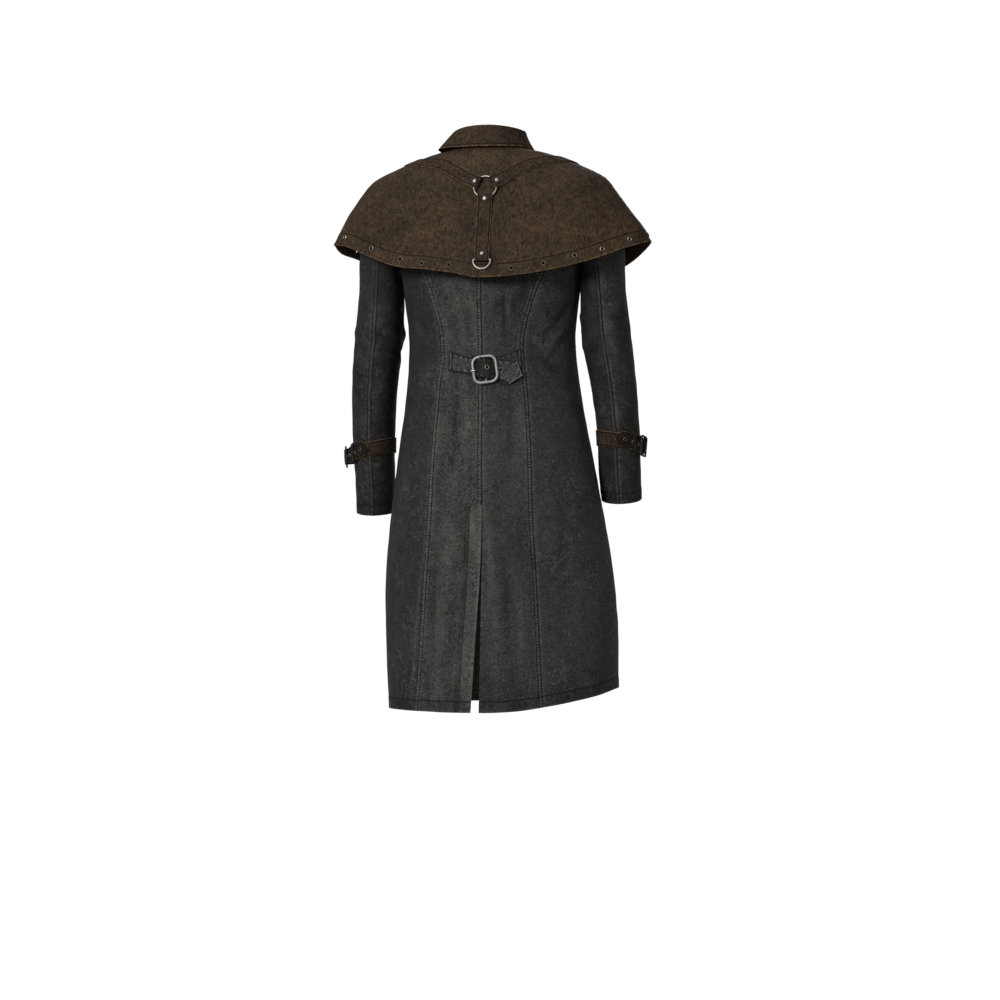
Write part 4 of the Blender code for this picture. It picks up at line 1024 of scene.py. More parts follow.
sleeves = {
    "wall": 1.1,
    "rowStep": 4.2,
    "columnStep": 4.6,
    # ways out of the armhole above and below, and the way into the arm
    "out": (0.80, 0.0, -0.60),
    "under": (0.45, 0.0, -0.90),
    "headEnd": (0.06, -0.05, -1.0),
    "clear": 0.9,
    "headClear": 1.8,
    "backSeam": 86.0,
    "lap": 0.4,
    "frontSeam": -112.0,
    "hem": 6.0,
    "hemStitch": 21.0,
    "seamGap": 0.06,
    "crumple": (38.0, 0.36),
    "mottle": 0.20,
    "creaseScale": 1.8,
    "creasesFrom": (215, 275),
    "perDegree": 0.82,
    "streak": 0.14,
    "crinkle": 0.46,
    # how far each sleeve piece is darkened: painted shade
    "deep": {
        "topsleeve_left": 0.60, "undersleeve_left": 0.62, "topsleeve_right": 0.48, "undersleeve_right": 0.74,
    },
    "cuffEdge": {"left": (3.0, 8.0), "right": (6.0, 10.0)},
    # height, centre x, centre y, half width, half depth
    "left": (
        (-262, 219, 3, 44.0, 60), (-351, 226, -5, 47.5, 56), (-429, 236, -14, 45.0, 52),
        (-526, 243, -34, 42.0, 49), (-610, 246, -57, 39.5, 46), (-689, 248, -79, 38.4, 44),
    ),
    "right": (
        (-262, 219, 3, 44.0, 60), (-351, 225, -5, 48.5, 56), (-429, 236, -12, 45.0, 52),
        (-526, 245, -24, 41.5, 49), (-605, 246, -36, 41.0, 46), (-667, 249, -46, 39.0, 44),
    ),
    # from angle, from depth, to angle, to depth, width, height
    "leftCreases": (
        (92, 276, 168, 296, 9, 2.6), (100, 300, 176, 322, 8, -2.8), (88, 322, 170, 350, 9, 2.6),
        (84, 346, 172, 380, 8, -2.6), (60, 366, 150, 402, 10, 2.0), (10, 330, 66, 346, 9, 1.6),
        (16, 350, 70, 370, 8, -1.6), (40, 420, 120, 446, 10, -1.4), (30, 470, 140, 452, 10, 1.4),
        (-60, 300, -130, 330, 10, 2.2), (-50, 340, -140, 372, 9, -2.2), (-60, 400, -120, 430, 10, 1.6),
        (40, 518, 120, 508, 7, 1.3), (30, 606, 130, 598, 8, 1.2), (70, 628, 150, 642, 9, -1.2),
        (180, 330, 235, 352, 9, 2.4), (178, 366, 232, 390, 9, -2.4),
    ),
    "rightCreases": (
        (94, 262, 170, 286, 9, -2.4), (90, 288, 172, 316, 9, 2.8), (96, 318, 176, 346, 8, -2.8),
        (80, 336, 168, 372, 9, 2.5), (84, 366, 160, 398, 8, -2.2), (50, 330, 96, 352, 9, 1.8),
        (20, 300, 74, 322, 10, -1.5), (24, 396, 110, 420, 11, 1.6), (40, 450, 130, 436, 9, -1.5),
        (-60, 296, -132, 328, 10, 2.2), (-54, 338, -138, 370, 9, -2.2), (-60, 410, -124, 436, 10, 1.6),
        (30, 508, 110, 498, 7, 1.4), (60, 588, 140, 576, 8, 1.3), (50, 622, 140, 630, 9, -1.2),
        (180, 330, 236, 354, 9, 2.4), (178, 366, 230, 388, 9, -2.4),
    ),
    "wear": {"left": (118, 296, 30, 10, 0.9), "right": (88, 344, 26, 24, 0.8)},
    # rubbed strokes, and painted highlights and painted shade of folds: from x and z, to x and z, width,
    # strength
    "worn": (
        (233, -288, 198, -292, 7, 0.7), (218, -317, 183, -304, 6, 0.9), (249, -387, 229, -403, 6, 0.6),
        (195, -357, 168, -349, 6, -0.9), (168, -292, 162, -326, 7, -0.8), (198, -387, 183, -380, 5, 0.6),
        (198, -444, 206, -498, 7, -0.5), (183, -517, 198, -536, 7, -0.6), (240, -330, 205, -345, 8, -0.5),
        (228, -430, 224, -500, 6, 0.4), (200, -410, 175, -425, 8, -0.4), (-206, -235, -208, -277, 4, 0.7),
        (-223, -323, -244, -323, 6, 1.0), (-220, -353, -227, -382, 5, 1.0),
        (-237, -349, -252, -387, 5, 0.8), (-256, -401, -275, -425, 5, 0.7),
        (-177, -302, -200, -296, 7, -0.6), (-177, -353, -196, -372, 5, 0.7),
        (-215, -440, -218, -500, 4, 0.6), (-250, -300, -262, -340, 7, -0.5),
        (-190, -400, -205, -440, 8, -0.4), (-240, -470, -250, -520, 5, 0.5),
    ),
}


def armholePoint(turn):
    turn = turnFrom(np.asarray(turn, float), 0.0)
    number = coat["shoulderTip"] + np.abs(turn) / 180 * (coat["armpit"] - coat["shoulderTip"])
    behind, before = (armholeAngle(number, coat[word]) for word in ("armholeBack", "armholeFront"))
    return plainCoat(np.where(turn >= 0, behind, -before), number)


def plainSleeve(side):
    rows = np.asarray(sleeves[side], float)

    def point(turn, number):
        # number 0 to 1 is the head, from the armhole to the first section
        turn, number = np.broadcast_arrays(np.asarray(turn, float), np.asarray(number, float))
        section = rowsAt(rows, number - 1)
        across, along = np.cos(np.radians(turn)), np.sin(np.radians(turn))
        z, x, y, wide, deep = np.moveaxis(section, -1, 0)
        tube = np.stack([x + wide * across, y + deep * along, z], axis=-1)
        under = ((1 - across) / 2)[..., None] ** 2
        out = np.asarray(sleeves["out"]) * (1 - under) + np.asarray(sleeves["under"]) * under
        over = ((1 + across) / 2)[..., None] ** 3
        start = armholePoint(turn) + (sleeves["clear"] + sleeves["headClear"] * over) * out
        length = np.linalg.norm(tube - start, axis=-1, keepdims=True)
        part = np.clip(number, 0, 1)[..., None]
        head = bend(part, start, out * length, tube, np.asarray(sleeves["headEnd"]) * length)
        points = np.where((number < 1)[..., None], head, tube)
        return points * np.array([1.0 if side == "left" else -1.0, 1.0, 1.0])
    return point


def sleeveSurface(side):
    plain = plainSleeve(side)
    sign = 1.0 if side == "left" else -1.0

    def point(turn, number):
        points = plain(turn, number)
        turns, down = np.broadcast_to(turn, points.shape[:-1]), -points[..., 2]
        push = creasePush(turns, sleeves["perDegree"], down, sleeves[side + "Creases"])
        push = sleeves["creaseScale"] * push * smooth(*sleeves["creasesFrom"], down)
        inside = np.clip(number, 0.03, sleeves["hem"] - 0.03)
        points = points + facing(plain, turn, inside, sign) * push[..., None]
        rise, dip = sleeves["cuffEdge"][side]
        points[..., 2] += (rise - dip * np.sin(np.radians(turn))) * smooth(4.7, sleeves["hem"], number)
        return points
    return point


def sleeveWearAndShade(side):
    at, depth, wide, tall, much = sleeves["wear"][side]

    def found(laid):
        points = laid["points"]
        spot = bump(turnFrom(laid["angle"], at) / wide) * bump((-points[..., 2] - depth) / tall)
        # painted shade, darker lower down the sleeve
        deep = smooth(330, 450, -points[..., 2])
        return 0.0, much * spot * (0.6 + 0.5 * crumple(points, 21, 14.0)) - 0.25 * deep
    return found


sleeveSurfaces = {}
sleeveCuts = (
    ("topsleeve_", sleeves["frontSeam"], sleeves["backSeam"], (seamPlain, seamPlain), (3.3, 6.1)),
    ("undersleeve_", sleeves["backSeam"], sleeves["frontSeam"] + 360, (seamFelled, seamPlain), (6.1, 3.3)),
)
for word, sign in (("left", 1.0), ("right", -1.0)):
    surface = sleeveSurfaces[word] = sleeveSurface(word)
    for name, start, end, seams, seeds in sleeveCuts:
        def edges(number, start=start - sleeves["lap"], end=end + sleeves["lap"]):
            return np.full(number.shape, start), np.full(number.shape, end)

        node = name + word
        cloth = coatCloth(seams[0]["rows"], (), (sleeves["hemStitch"],), deep=sleeves["deep"][node],
                          streak=sleeves["streak"], crinkle=sleeves["crinkle"])
        coatSheets[node] = panel(node, surface, edges, 0.0, sleeves["hem"], seams, seeds, cloth, sleeves,
                                 sign=sign, extra=sleeveWearAndShade(word))
print("coat: sleeves set in")


# shoulder cape and its hem eyelets

cape = {
    "wall": 1.2,
    "rowStep": 3.5,
    "columnStep": 3.8,
    "frontColumnStep": 5.4,
    # left, right, back, front, flat, height at side, back and front
    "rings": (
        (76, 76, 82, 50, 0.00, 17, 24, -36), (123, 121, 106, 82, 0.02, 7, -10, -60),
        (186, 180, 120, 107, 0.05, -16, -60, -96), (232, 223, 133, 125, 0.08, -39, -106, -136),
        (253, 242, 141, 135, 0.10, -62, -140, -166), (268, 257, 148, 143, 0.10, -86, -167, -190),
        (284, 277, 154, 150, 0.08, -118, -194, -215), (297, 298, 159, 156, 0.06, -150, -219, -239),
        (308, 310, 163, 161, 0.05, -177, -241, -262),
    ),
    "folds": (
        (14, 9, 5.0, -60, -180), (33, 9, -4.0, -80, -200), (56, 8, 3.5, -110, -240),
        (128, 9, 4.0, -110, -240), (150, 9, -4.0, -80, -200), (168, 9, 5.0, -60, -180),
        (-36, 10, 5.0, -90, -240), (216, 10, 5.0, -90, -240),
    ),
    # from angle, from depth down the cape, to angle, to depth, width, height
    "creases": (
        (112, 62, 142, 50, 5, 1.5), (116, 70, 140, 60, 5, -1.3), (70, 96, 58, 250, 12, 1.8),
        (79, 120, 74, 262, 10, -1.5), (101, 110, 106, 255, 11, -1.6), (110, 100, 117, 250, 12, 1.8),
        (44, 110, 36, 240, 11, 2.0), (24, 90, 12, 220, 10, -2.0), (138, 110, 146, 236, 11, 1.9),
        (158, 90, 170, 220, 10, -1.9), (88, 180, 85, 268, 9, 1.2), (62, 60, 40, 110, 9, -1.2),
        (122, 90, 140, 150, 9, -1.3), (-20, 110, -14, 240, 12, 2.0), (-50, 100, -54, 250, 12, 1.9),
        (-66, 120, -72, 250, 10, -1.8), (200, 110, 195, 240, 12, 2.0), (231, 100, 236, 250, 12, 1.9),
        (246, 120, 252, 250, 10, -1.8),
    ),
    "seamGap": 0.15,
    "hem": 8.0,
    "perRing": 33.0,
    "openNeck": 5.0,
    "openHem": 32.0,
    "hemStitch": 25.0,
    "hemCurl": 1.6,
    # how far the hem rises, by angle
    "hemRise": (
        (-60, 0), (-40, 4), (-25, 5), (-10, 1), (0, 6), (5, 12), (12, 15), (20, 17), (28, 18), (46, 13),
        (60, 7), (70, 10), (81, 8), (89, 0), (115, 1), (135, 4.6), (150, 8.4), (180, 13), (210, 8.4),
        (240, 1.6), (270, 0),
    ),
    "eyeletAngles": (
        -79, -67, -54, -39, -20, 1, 23, 44.5, 60, 69, 79.5, 92, 102.5, 114.3, 126.5, 139.5, 156.5, 179,
        200, 219, 234, 247, 259,
    ),
    "eyeletUp": (
        (-90, 15.5), (0, 16.0), (44, 15.5), (60, 14.5), (69, 12.7), (80, 13.3), (92, 15.0), (120, 15.0),
        (140, 13.0), (180, 17.0), (270, 15.5),
    ),
    "eyelet": {"hole": 3.0, "across": 4.8, "high": 1.3, "under": 3.4, "seat": 0.25},
    # radius of the hole as a share of the eyelet's
    "punch": 0.66,
    # the eyelets next to the side seams, moved clear of them
    "besideSeam": (-2.5, 182.5),
    "hemReach": (3.6, 7.4),
}


def plainCape(angle, number):
    points = withFolds(ringPoint(cape["rings"], angle, number), angle, cape["folds"])
    points[..., 2] += smoothTable(cape["hemRise"], angle) * smooth(*cape["hemReach"], number)
    return points


def capePoint(angle, number):
    points = plainCape(angle, number)
    angle, number = (np.broadcast_to(value, points.shape[:-1]) for value in (angle, number))
    perDegree = sizePerDegree(cape["rings"], number)
    push = creasePush(angle, perDegree, number * cape["perRing"], cape["creases"])
    return points + facing(plainCape, angle, np.clip(number, 0.03, cape["hem"] - 0.03)) * push[..., None]


def turnedMesh(profile, centre, axis, sides=24, capped=False):
    # a round piece from its profile of radius and height, as points and faces
    turn = np.array(Vector((0, 0, 1)).rotation_difference(Vector(axis)).to_matrix())
    points, faces = [], []
    for radius, height in profile:
        for swing in (2 * math.pi * k / sides for k in range(sides)):
            place = np.array([radius * math.cos(swing), radius * math.sin(swing), height])
            points.append(turn @ place + centre)
    for low in range(0, (len(profile) - 1) * sides, sides):
        for k in range(sides):
            j = (k + 1) % sides
            faces.append([low + k, low + j, low + sides + j, low + sides + k])
    if capped:
        faces += [list(range(sides))[::-1], [len(points) - sides + k for k in range(sides)]]
    return points, faces


def ringProfile(hole, across, high, under):
    # an eyelet: rolled flange over the cloth, barrel through it, washer behind
    washer = -under + 0.5
    return [(across, 0.0), (across + 0.05, high * 0.35), (across * 0.86, high * 0.85),
            ((hole + across) / 2, high), (hole * 1.12, high * 0.72), (hole, high * 0.2), (hole, -under),
            (across * 0.9, -under), (across * 0.9, washer), (hole * 1.25, washer), (hole * 1.25, -0.05),
            (across, 0.0)]


def barrelProfile(hole, under):
    outside, inside = hole + 0.05, hole - 0.3
    return [(outside, 0.3), (inside, 0.3), (inside, -under), (outside, -under), (outside, 0.3)]


capeEyelets, barrels = Gathered(), Gathered()


def eyeletOn(gathered, centre, off, hole, across, high=1.1, under=2.2, seat=0.15):
    centre = centre + seat * off
    gathered.add(*turnedMesh(ringProfile(hole, across, high, under), centre, off))
    barrels.add(*turnedMesh(barrelProfile(hole, under), centre, off))


def capePiece(node, edges, seams, seeds, columnStep, angles):
    numbers = evenRows(capePoint, edges, 0.0, cape["hem"], cape["rowStep"])
    laid = layOut(capePoint, edges, numbers, seams, columnStep, 160, cape["seamGap"])
    points, off, angle = laid["points"], laid["off"], laid["angle"]
    down, fromHem = laid["down"], laid["fromHem"]
    lift, rubAndShading = seamLift(laid["fromStart"], down, seams[0], seeds[0])
    liftEnd, rubEnd = seamLift(laid["fromEnd"], down, seams[1], seeds[1])
    wave = ripple(angle * 4.6, 1.9, 21.0)
    row = cape["hemStitch"]
    lift = lift + liftEnd + 0.30 * crumple(points, 31, 42.0)
    lift = lift + 0.8 * (1 - smooth(row - 0.5, row + 2.5, fromHem))
    lift = lift + cape["hemCurl"] * smooth(12, 0, fromHem) ** 2
    lift = lift + 0.55 * wave * bump((fromHem - 14) / 12) - 0.35 * bump((fromHem - row) / 1.6)
    lift = lift * smooth(0, 14, down)
    rubAndShading = rubAndShading + rubEnd + 0.5 * wave * bump((fromHem - row) / 7) + 0.10 * crumple(points, 33, 17.0)
    # lighter over the top of the cape near the collar: painted light from above
    rubAndShading = rubAndShading + 0.6 * smooth(-80, -15, points[..., 2])
    outer = points + off * lift[..., None]
    inner = outer - off * (cape["wall"] + 0.9 * (1 - smooth(row, row + 2, fromHem)))[..., None]
    middle = (outer[:-1, :-1] + outer[1:, 1:] + outer[:-1, 1:] + outer[1:, :-1]) / 4
    holes = np.zeros(middle.shape[:-1], bool)
    for at in angles:
        column = np.abs(angle[-1] - at).argmin()
        level = np.abs(fromHem[:, column] - np.interp(at, *np.transpose(cape["eyeletUp"]))).argmin()
        before, after = (level, column - 1), (level, column + 1)
        share = (at - angle[before]) / (angle[after] - angle[before])
        centre = outer[before] + share * (outer[after] - outer[before])
        holes |= np.linalg.norm(middle - centre, axis=-1) < cape["eyelet"]["across"] * cape["punch"]
        eyeletOn(capeEyelets, centre, off[level, column], **cape["eyelet"])
    marks = {"fromHem": fromHem, "fromEdge": fromHem, "rubAndShading": rubAndShading}
    piece = gridPiece(node + "_cloth", outer, inner, laid["uv"], marks, off, holes=holes)
    settle(piece, capeCloth("brown_cape_twill", hemRows=(row,), wornEdge=1.8), "cape_twill", node)
    grid = dict(laid, piece=piece, outer=outer)
    sewAcross(capeSewing, grid, row)
    sewSeams(capeSewing, grid, seams)
    return grid


def capeFrontEdges(side):
    def edges(number):
        half = cape["openNeck"] + (cape["openHem"] - cape["openNeck"]) * number / cape["hem"]
        reach = rowsAt(cape["rings"], number)[..., 0 if side > 0 else 1]
        middle = -90 + np.degrees(np.arcsin(half / reach))
        none = np.zeros(number.shape)
        return (none, middle) if side > 0 else (180 - none, 180 - middle)
    return edges


def capeBackEdges(number):
    return np.full(number.shape, 180.0), np.full(number.shape, 0.0)


inBack = [angle for angle in cape["eyeletAngles"] if 4 < angle < 176]
inLeft = [angle for angle in cape["eyeletAngles"] if angle <= 4]
inRight = [angle for angle in cape["eyeletAngles"] if angle >= 176]
inLeft[-1], inRight[0] = cape["besideSeam"]
capeSheets = {}
for node, edges, end, seeds, step, angles in (
    ("cape_back", capeBackEdges, seamPlain, (1.2, 4.4), "columnStep", inBack),
    ("cape_front_left", capeFrontEdges(1), edgeTurned, (4.4, 7.7), "frontColumnStep", inLeft),
    ("cape_front_right", capeFrontEdges(-1), edgeTurned, (1.2, 7.7), "frontColumnStep", inRight),
):
    capeSheets[node] = capePiece(node, edges, (seamPlain, end), seeds, cape[step], angles)
print("coat: cape cut, hemmed and punched")


# collar, a stand and a fall that rolls over it

collar = {
    "wall": 1.3,
    "open": 8.0,
    "columns": 150,
    "stand": ((67, 65, 77, 42, 0, 50, 55, -4), (70, 69, 79, 45, 0, 34, 40, -20),
              (75.5, 75.5, 81.6, 49.5, 0, 17.4, 24.4, -35.6)),
    "fall": (
        (64.0, 62.0, 74.0, 39.0, 0, 44.5, 49.5, -9.0), (65.6, 63.6, 75.6, 40.6, 0, 52.6, 57.4, -1.6),
        (72.5, 66.8, 79.5, 44.5, 0, 53.4, 58.2, -0.8), (82, 70, 85, 52, 0, 44.6, 49.6, -9.4),
        (95, 76, 93, 61, 0, 31, 32, -25), (105, 83, 101, 69, 0, 19.5, 15.5, -40),
        (109, 90, 106, 84, 0, 10, 4, -52),
    ),
    "pointFrom": -20.0,
    "point": -68.0,
    "edgeRow": 5.0,
    "fallBack": 4.0,
}


def standPoint(angle, number):
    return ringPoint(collar["stand"], angle, number)


def fallPoint(angle, number):
    return ringPoint(collar["fall"], angle, number)


def collarTurns(back):
    # angles round the neck, from one front end to the other
    return np.linspace(-90 + collar["open"] + back, 270 - collar["open"] - back, collar["columns"] + 1)


def collarPiece(node, surface, turns, numbers, finish, rows):
    angle, number = np.broadcast_arrays(turns, numbers)
    points, off = surface(angle, number), facing(surface, angle, number)
    down, across = arcs(points, 0), arcs(points, 1)
    fromHem = down[-1:] - down
    wave = ripple(angle * 1.7, 3.7, 13.0)
    lift = 0.16 * crumple(points, 41, 30.0)
    fromEdge = np.full(angle.shape, 30.0)
    if rows:
        fromEdge = np.minimum(np.minimum(fromHem, across), across[:, -1:] - across)
        lift = lift + 0.25 * wave * bump((fromEdge - 4) / 6) - 0.25 * bump((fromEdge - rows[0]) / 1.2)
    outer = points + off * lift[..., None]
    uv = np.stack([across - across[:, -1:] / 2, down], axis=-1)
    marks = {"fromEdge": fromEdge, "rubAndShading": 0.4 * wave * bump((fromEdge - 4) / 6)}
    piece = gridPiece(node + "_cloth", outer, outer - off * collar["wall"], uv, marks, off)
    settle(piece, finish, "cape_twill", node)
    grid = {"piece": piece, "outer": outer, "off": off, "fromHem": fromHem}
    for row in rows:
        sewAcross(capeSewing, grid, row)
    return grid


cloth = capeCloth("brown_collar_inside")
numbers = np.linspace(0, 2, 13)[:, None]
capeSheets["collar_stand"] = collarPiece("collar_stand", standPoint, collarTurns(0.0), numbers, cloth, ())
turns, rows = collarTurns(collar["fallBack"]), (collar["edgeRow"],)
reach = 5 + smooth(-collar["pointFrom"], -collar["point"], -np.minimum(turns, 180 - turns))
cloth = capeCloth("brown_collar_twill", edgeRows=rows, wornEdge=1.8, shade=-0.12, rusty=0.7)
numbers = np.linspace(0, 1, 30)[:, None] * reach[None]
capeSheets["collar_fall"] = collarPiece("collar_fall", fallPoint, turns, numbers, cloth, rows)
print("coat: collar rolled")


# strips of cloth, laid along a way over a wall

class Lane:
    # places by distance along the way, across it and off the wall
    def __init__(self, surface, route, sign=1.0):
        self.surface, self.sign = surface, sign
        self.route = rowsAt(route, np.linspace(0, len(route) - 1, 240))
        self.at = arcs(surface(self.route[:, 0], self.route[:, 1]), 0)
        self.length = self.at[-1]

    def place(self, along):
        along = np.asarray(along, float)
        inside = np.clip(along, 0, self.length)
        first = (self.route[1] - self.route[0]) / self.at[1]
        last = (self.route[-1] - self.route[-2]) / (self.at[-1] - self.at[-2])
        over, under = np.maximum(0, along - self.length), np.minimum(0, along)
        return [np.interp(inside, self.at, self.route[:, k]) + over * last[k] + under * first[k]
                for k in range(2)]

    def frame(self, along):
        along = np.asarray(along, float)
        angle, number = self.place(along)
        forward = self.surface(*self.place(along + 1.5)) - self.surface(*self.place(along - 1.5))
        off = facing(self.surface, angle, number, self.sign)
        forward = unit(forward - off * (forward * off).sum(-1, keepdims=True))
        return self.surface(angle, number), forward, np.cross(off, forward), off

    def points(self, along, across, off):
        along, across, off = np.broadcast_arrays(np.asarray(along, float), across, off)
        angle, number = self.place(along)
        step = self.frame(along)[2] * across[..., None] / 3
        for _ in range(3):
            roundIt = (self.surface(angle + 0.2, number) - self.surface(angle - 0.2, number)) / 0.4
            downIt = (self.surface(angle, number + 0.01) - self.surface(angle, number - 0.01)) / 0.02
            a, b, c = (roundIt**2).sum(-1), (roundIt * downIt).sum(-1), (downIt**2).sum(-1)
            u, v = (roundIt * step).sum(-1), (downIt * step).sum(-1)
            scale = a * c - b * b
            angle, number = angle + (u * c - v * b) / scale, number + (v * a - u * b) / scale
        return self.surface(angle, number) + off[..., None] * facing(self.surface, angle, number, self.sign)


stripRow = 2.8
stripStep = 1.7
stripEdge = np.array([0, 0.3, 0.8, 1.5, 2.2, stripRow, 3.4, 4.4, 6.0])
narrow = 12.0
fineStitch = {"pitch": 3.1, "length": 2.3, "wide": 0.75}


def evenLine(line, step=stripStep, soft=1.2):
    # a line of (along, off) places made smooth and even, its ends kept
    line = np.asarray(line, float)
    run = arcs(line, 0)
    dense = readAt(np.linspace(0, run[-1], int(run[-1] / 0.3) + 2), run, line)
    reach = max(1, int(soft / 0.3))
    for _ in range(3):
        before, beyond = 2 * dense[:1] - dense[reach:0:-1], 2 * dense[-1:] - dense[-2:-2 - reach:-1]
        total = np.cumsum(np.concatenate([np.zeros((1, 2)), before, dense, beyond]), axis=0)
        dense = (total[2 * reach + 1:] - total[:-2 * reach - 1]) / (2 * reach + 1)
    run = arcs(dense, 0)
    return readAt(np.linspace(0, run[-1], int(run[-1] / step) + 2), run, dense)


def roundedWall(wall, fromSide):
    # a strip's thickness, rounded off at its sides
    return wall * (0.30 + 0.70 * np.sqrt(1 - (1 - np.clip(fromSide / 0.9, 0, 1)) ** 2))


def strip(node, lane, line, width, wall, finish, slot, sewing, shift=None, tip=None, row=stripRow, punched=(),
          punch=0.0, step=stripStep, seed=1.0, softness=1.2, wornFrom=-999.0, shades=()):
    middle = evenLine(line, step, softness)
    along = middle[:, :1]
    ahead = unit(np.gradient(middle, axis=0))
    beside = np.stack([-ahead[:, 1], ahead[:, 0]], axis=1)
    run = arcs(middle, 0)[:, None]
    half = np.full((len(middle), 1), width / 2) if tip is None else width / 2 * tip(along)
    edge = stripEdge if width > narrow else stripEdge[:5]
    inside = np.linspace(1, 0, 5 if width > narrow else 3)[1:]
    gap = np.minimum(edge[None] * np.minimum(1, half / (width / 2)), half * 0.98)
    right = np.concatenate([half - gap, (half - gap[:, -1:]) * inside[None]], axis=1)
    place = np.concatenate([-right, right[:, -2::-1]], axis=1)
    fromSide = half - abs(place)
    fromEdge = np.minimum(fromSide, run[-1] - run) + farAway * (along < wornFrom)
    wave = ripple(run + place * 0.15, seed, 15.0)
    lift = 0.22 * wave * bump((fromSide - 3) / 5) + 0.12 * bump((fromSide - 1.3) / 1.0)
    if row:
        lift = lift - 0.30 * bump((fromSide - row) / 0.7)
    thick = roundedWall(wall, fromSide)
    more = (0.0, 0.0) if shift is None else shift(place, along)
    outer, inner = (lane.points(along + beside[:, :1] * out + more[0], place,
                                middle[:, 1:] + beside[:, 1:] * out + more[1])
                    for out in (0.5 * thick + lift, -0.5 * thick))
    off = unit(outer - inner)
    middlePlace = (place[:-1, :-1] + place[1:, 1:]) / 2
    middleRun = (run[:-1] + run[1:]) / 2
    holes = np.zeros(middlePlace.shape, bool)
    for at, across in punched:
        holes |= np.hypot(middleRun - at, middlePlace - across) < punch
    rubAndShading = 0.45 * wave * bump((fromSide - 3) / 5)
    for start, end, much in shades:
        rubAndShading = rubAndShading - much * smooth(start - 5, start, along) * (1 - smooth(end, end + 5, along))
    marks = {"fromEdge": fromEdge, "fromHem": np.minimum(run, run[-1] - run), "rubAndShading": rubAndShading,
             "fromStart": place + half, "fromEnd": half - place}
    uv = np.stack([place, np.broadcast_to(run, place.shape)], axis=-1)
    piece = settle(gridPiece(node + "_cloth", outer, inner, uv, marks, off, holes=holes), finish, slot, node)
    for sign in (1, -1) if row else ():
        rows = [k for k in range(len(middle)) if half[k, 0] > row * 1.15]
        path, ways = (np.array([readAt(sign * (half[k, 0] - row), place[k], source[k]) for k in rows])
                      for source in (outer, off))
        sewing.row(path, ways, **fineStitch)
    return {"piece": piece, "outer": outer, "off": off, "place": place, "half": half, "middle": middle,
            "run": run[:, 0], "beside": beside}


def sewOver(sewing, grid, run):
    # one row of stitches straight across a strip
    k = int(np.argmin(abs(grid["run"] - run)))
    inside = abs(grid["place"][k]) < grid["half"][k, 0] - 2.2
    sewing.row(grid["outer"][k][inside], grid["off"][k][inside], **fineStitch)


def onStrip(grid, run, across=0.0):
    # a place on the outside of a strip, and its way off
    k = int(np.argmin(abs(grid["run"] - run)))
    return [readAt(across, grid["place"][k], grid[key][k]) for key in ("outer", "off")]


def foldLine(wireOff, inside, wall, under, length):
    # from the end of the under run, round a wire at 0, and along the top run
    low = strap["laid"] + wall / 2
    radius = inside + wall / 2
    line = [(under, low), (under * 0.6, low), (under * 0.3, max(low, wireOff - radius))]
    for turn in np.linspace(-90, -270, 13):
        line.append((radius * math.cos(math.radians(turn)), wireOff + radius * math.sin(math.radians(turn))))
    second = low + wall + strap["laid"] / 2
    line += [(under * 0.36, wireOff + radius * 0.45), (under * 0.66, second + 0.5), (under * 0.95, second),
             (under * 1.1, second), (under * 1.5, low), (length, low)]
    return line


def sweep(path, facingWay, wide, thick, closed, sides=14, square=2.6, ends=1.0):
    # a bar with a rounded section along a line that lies in a plane
    path = np.asarray(path, float)
    count = len(path)
    if closed:
        ahead = np.roll(path, -1, axis=0) - np.roll(path, 1, axis=0)
    else:
        ahead = np.gradient(path, axis=0)
    ahead = unit(ahead)
    up = unit(np.asarray(facingWay, float))
    beside = unit(np.cross(ahead, up[None]))
    swing = np.arange(sides) * 2 * math.pi / sides
    across = np.sign(np.cos(swing)) * abs(np.cos(swing)) ** (2 / square) * wide / 2
    high = np.sign(np.sin(swing)) * abs(np.sin(swing)) ** (2 / square) * thick / 2
    size = np.ones(count)
    if not closed:
        size[0] = size[-1] = ends
    section = beside[:, None] * across[None, :, None] + up * high[None, :, None]
    points = path[:, None] + size[:, None, None] * section
    faces = []
    for k in range(count if closed else count - 1):
        here, after = k * sides, (k + 1) % count * sides
        for s in range(sides):
            t = (s + 1) % sides
            faces.append([here + s, here + t, after + t, after + s])
    if not closed:
        faces += [list(range(sides))[::-1], [(count - 1) * sides + s for s in range(sides)]]
    return points.reshape(-1, 3), faces


def roundedFrame(wide, high, corner, count=9):
    points = []
    for signX, signY, start in ((1, 1, 0), (-1, 1, 90), (-1, -1, 180), (1, -1, 270)):
        for turn in np.radians(np.linspace(start, start + 90, count)):
            points.append((signX * (wide / 2 - corner) + corner * math.cos(turn),
                           signY * (high / 2 - corner) + corner * math.sin(turn)))
    return points


def buckleOn(name, node, finish, sizes, centre, along, across, off):
    # a rounded frame with a bar across its middle
    buckle, bar = Gathered(), sizes["bar"]
    outline = roundedFrame(sizes["buckleWide"] - bar, sizes["buckleHigh"] - bar, sizes["corner"])
    path = [centre + x * along + y * across for x, y in outline]
    buckle.add(*sweep(path, off, bar, sizes["barThick"], True, sides=sizes["barSides"]))
    reach = (sizes["buckleHigh"] - bar) / 2
    path = [centre + y * across for y in np.linspace(-reach, reach, 5)]
    buckle.add(*sweep(path, off, sizes["centreBar"], sizes["centreBar"], False, square=2.0))
    buckle.piece(name, finish, node)


